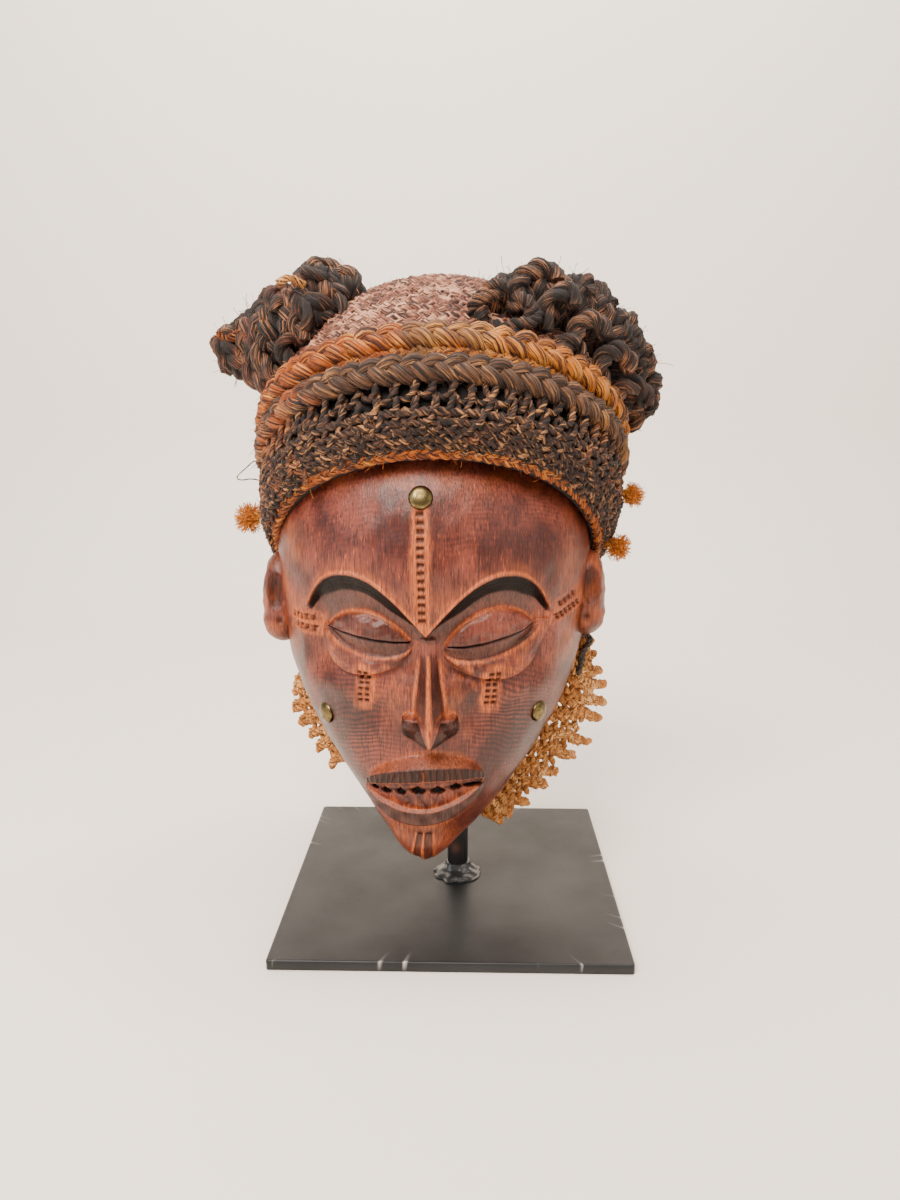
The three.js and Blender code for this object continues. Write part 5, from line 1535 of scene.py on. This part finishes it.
def foot_plate():
    """Square sheared plate with slightly eased edges, chipped bare along the top ones."""
    side, thick, corner, ease = 200, 6, 1.5, 0.5
    count = 250
    line = []
    for turn in range(4):
        a = turn * math.pi / 2
        way, across = np.array([math.cos(a), math.sin(a)]), np.array([-math.sin(a), math.cos(a)])
        for s in np.linspace(-side / 2 + corner, side / 2 - corner, count):
            line.append(way * side / 2 + across * s)
        centre = (way + across) * (side / 2 - corner)
        for bend in np.linspace(0, math.pi / 2, 8)[1:-1]:
            line.append(centre + corner * (way * math.cos(bend) + across * math.sin(bend)))
    line = np.array(line)
    eased = 1 - 2 * ease / side
    rings = [(0.001, 0), (0.97, 0), (eased, 0), (1, ease), (1, thick - ease), (eased, thick), (0.985, thick),
             (0.9, thick), (0.6, thick), (0.001, thick)]
    points = np.concatenate([np.column_stack([line * k, np.full(len(line), z)]) for k, z in rings])
    faces = grid_faces(len(rings), len(line), 0, True)
    along_edge = np.arange(len(line)) * 0.8
    worn = ripple(61, 12, 9, along_edge) + 0.6 * ripple(62, 6, 60, along_edge)
    chips = smooth(worn, 1.25, 1.9)
    zero = np.zeros(len(line))
    bare = np.concatenate([zero] * 4 + [0.75 * chips, chips, 0.2 * chips, zero, zero, zero])
    made = outward(mesh_object("stand_plate_sheared", points, faces, steel, {"bare": bare, "rust": 0 * bare},
                               shift=0))
    settle(made, "black_steel", "stand_plate")


POST_X, POST_FOOT, POST_RADIUS = 3, 6.3, 6.5
BAR_HALF, BAR_RADIUS, BAR_Z = 80, 4, 268


def post():
    """Round bar welded to the plate, up through the hollow, and the bar across that the wood hangs on."""
    # The rod ends half a millimetre under the top of its solid
    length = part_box("stand_post")[1].z * 1000 - 0.5 - POST_FOOT
    foot = (POST_X, 0, POST_FOOT)
    heights = np.concatenate([np.linspace(0, 60, 40), np.linspace(65, length, 20)])
    profile = [(0.01, 0)] + [(POST_RADIUS, h) for h in heights] + [(0.01, length)]
    points, faces = turned(profile, 40, (0, 0, 1), foot)
    flat = points.reshape(-1, 3)
    spot = bell(flat[:, 0], 1.5, 3) * bell(flat[:, 2], 26, 3.5) * (flat[:, 1] < 0)
    rod = outward(mesh_object("post_rod", flat, faces, steel, {"bare": 0 * spot, "rust": spot}, shift=0))

    bead = [(0.01, 0), (14, 0), (13.8, 0.8), (12.4, 2.0), (10.2, 3.3), (8.6, 5.0), (7.4, 7.0), (6.6, 8.2),
            (0.01, 8.2)]
    points, faces = turned(along_rows(bead, np.linspace(0, 1, 33)), 72, (0, 0, 1), foot)
    ways = points - foot
    reach = smooth(np.hypot(ways[..., 0], ways[..., 1]), 2, 8)
    waves = 1 + 0.07 * ripple(71, 8, 7, *np.moveaxis(ways, -1, 0)) * reach
    points = np.stack([POST_X + ways[..., 0] * waves, ways[..., 1] * waves, points[..., 2]], -1)
    # A bead of weld has a smooth skin that shines more than the rolled steel
    weld_metal = plain("blackened weld metal", "#39393a", 0.26, 0.8)
    weld = outward(mesh_object("post_weld", points.reshape(-1, 3), faces, weld_metal, shift=0))

    profile = [(0.01, -BAR_HALF), (BAR_RADIUS, -BAR_HALF), (BAR_RADIUS, BAR_HALF), (0.01, BAR_HALF)]
    points, faces = turned(profile, 24, (1, 0, 0), (MASK_X, 0, BAR_Z))
    points = points.reshape(-1, 3)
    blank = np.zeros(len(points))
    bar = outward(mesh_object("post_crossbar", points, faces, steel, {"bare": blank, "rust": blank}, shift=0))
    for piece in (rod, weld, bar):
        settle(piece, "black_steel", "stand_post")


foot_plate()
post()


# Stage, light and camera

FLOOR_NEAR, FLOOR_FAR, FLOOR_HALF, WALL_CURVE, WALL_TOP = -900, 700, 1600, 300, 1800


def stage():
    """Pale floor that curves up into a wall."""
    profile = [(FLOOR_NEAR, 0), (FLOOR_FAR, 0)]
    for a in np.linspace(0.1, math.pi / 2, 12):
        profile.append((FLOOR_FAR + WALL_CURVE * math.sin(a), WALL_CURVE - WALL_CURVE * math.cos(a)))
    profile.append((FLOOR_FAR + WALL_CURVE, WALL_TOP))
    points = [(x, y, z) for y, z in profile for x in (-FLOOR_HALF, FLOOR_HALF)]
    # Matt wall paint, on which shadows stay soft
    paint = plain("matt pale paint", "#f4ece2", 0.8)
    mesh_object("floor", points, grid_faces(len(profile), 2), paint, shift=0)


stage()


def lamp(name, place, target, size, power, colour):
    """A soft rectangular light turned to its target."""
    data = bpy.data.lights.new(name, "AREA")
    data.shape, data.size, data.size_y = "RECTANGLE", size[0], size[1]
    data.energy, data.color = power, hex_colour(colour)[:3]
    made = bpy.data.objects.new(name, data)
    made.location = place
    made.rotation_euler = (Vector(target) - Vector(place)).to_track_quat("-Z", "Y").to_euler()
    bpy.context.collection.objects.link(made)


lamp("overhead softbox", (-0.4, -1.0, 1.3), (0, 0, 0.18), (0.9, 0.7), 49, "#fff2e6")
lamp("fill from the right", (1.4, -0.9, 0.8), (0, 0, 0.2), (1.2, 1.2), 9, "#fff3ea")
lamp("fill from the left", (-1.3, -0.8, 0.6), (0, 0, 0.2), (1.0, 1.2), 7, "#f4f6ff")
lamp("wash on the wall", (0, 0.2, 1.7), (0, 1.0, 0.4), (1.6, 0.4), 36, "#fff6ee")
world = bpy.data.worlds.new("studio")
bpy.context.scene.world = world
world.use_nodes = True
sky = world.node_tree.nodes["Background"]
sky.inputs["Color"].default_value = hex_colour("#ece8e4")
sky.inputs["Strength"].default_value = 0.55


# The lens on a 36 mm high sensor, where it stands in metres, and its turn and its tilt down in degrees
LENS, STANDPOINT, TURN, TILT = 27.03, (0.00995, -0.5389, 0.293), -1.27, 11.24


def camera():
    """The photo's viewpoint, worked out from the corners of the foot plate."""
    data = bpy.data.cameras.new("camera")
    data.sensor_fit, data.sensor_height, data.lens = "VERTICAL", 36, LENS
    made = bpy.data.objects.new("camera", data)
    made.location = STANDPOINT
    turn, tilt = math.radians(TURN), math.radians(TILT)
    forward = Vector((math.sin(turn) * math.cos(tilt), math.cos(turn) * math.cos(tilt), -math.sin(tilt)))
    made.rotation_euler = forward.to_track_quat("-Z", "Y").to_euler()
    bpy.context.collection.objects.link(made)
    bpy.context.scene.camera = made


camera()
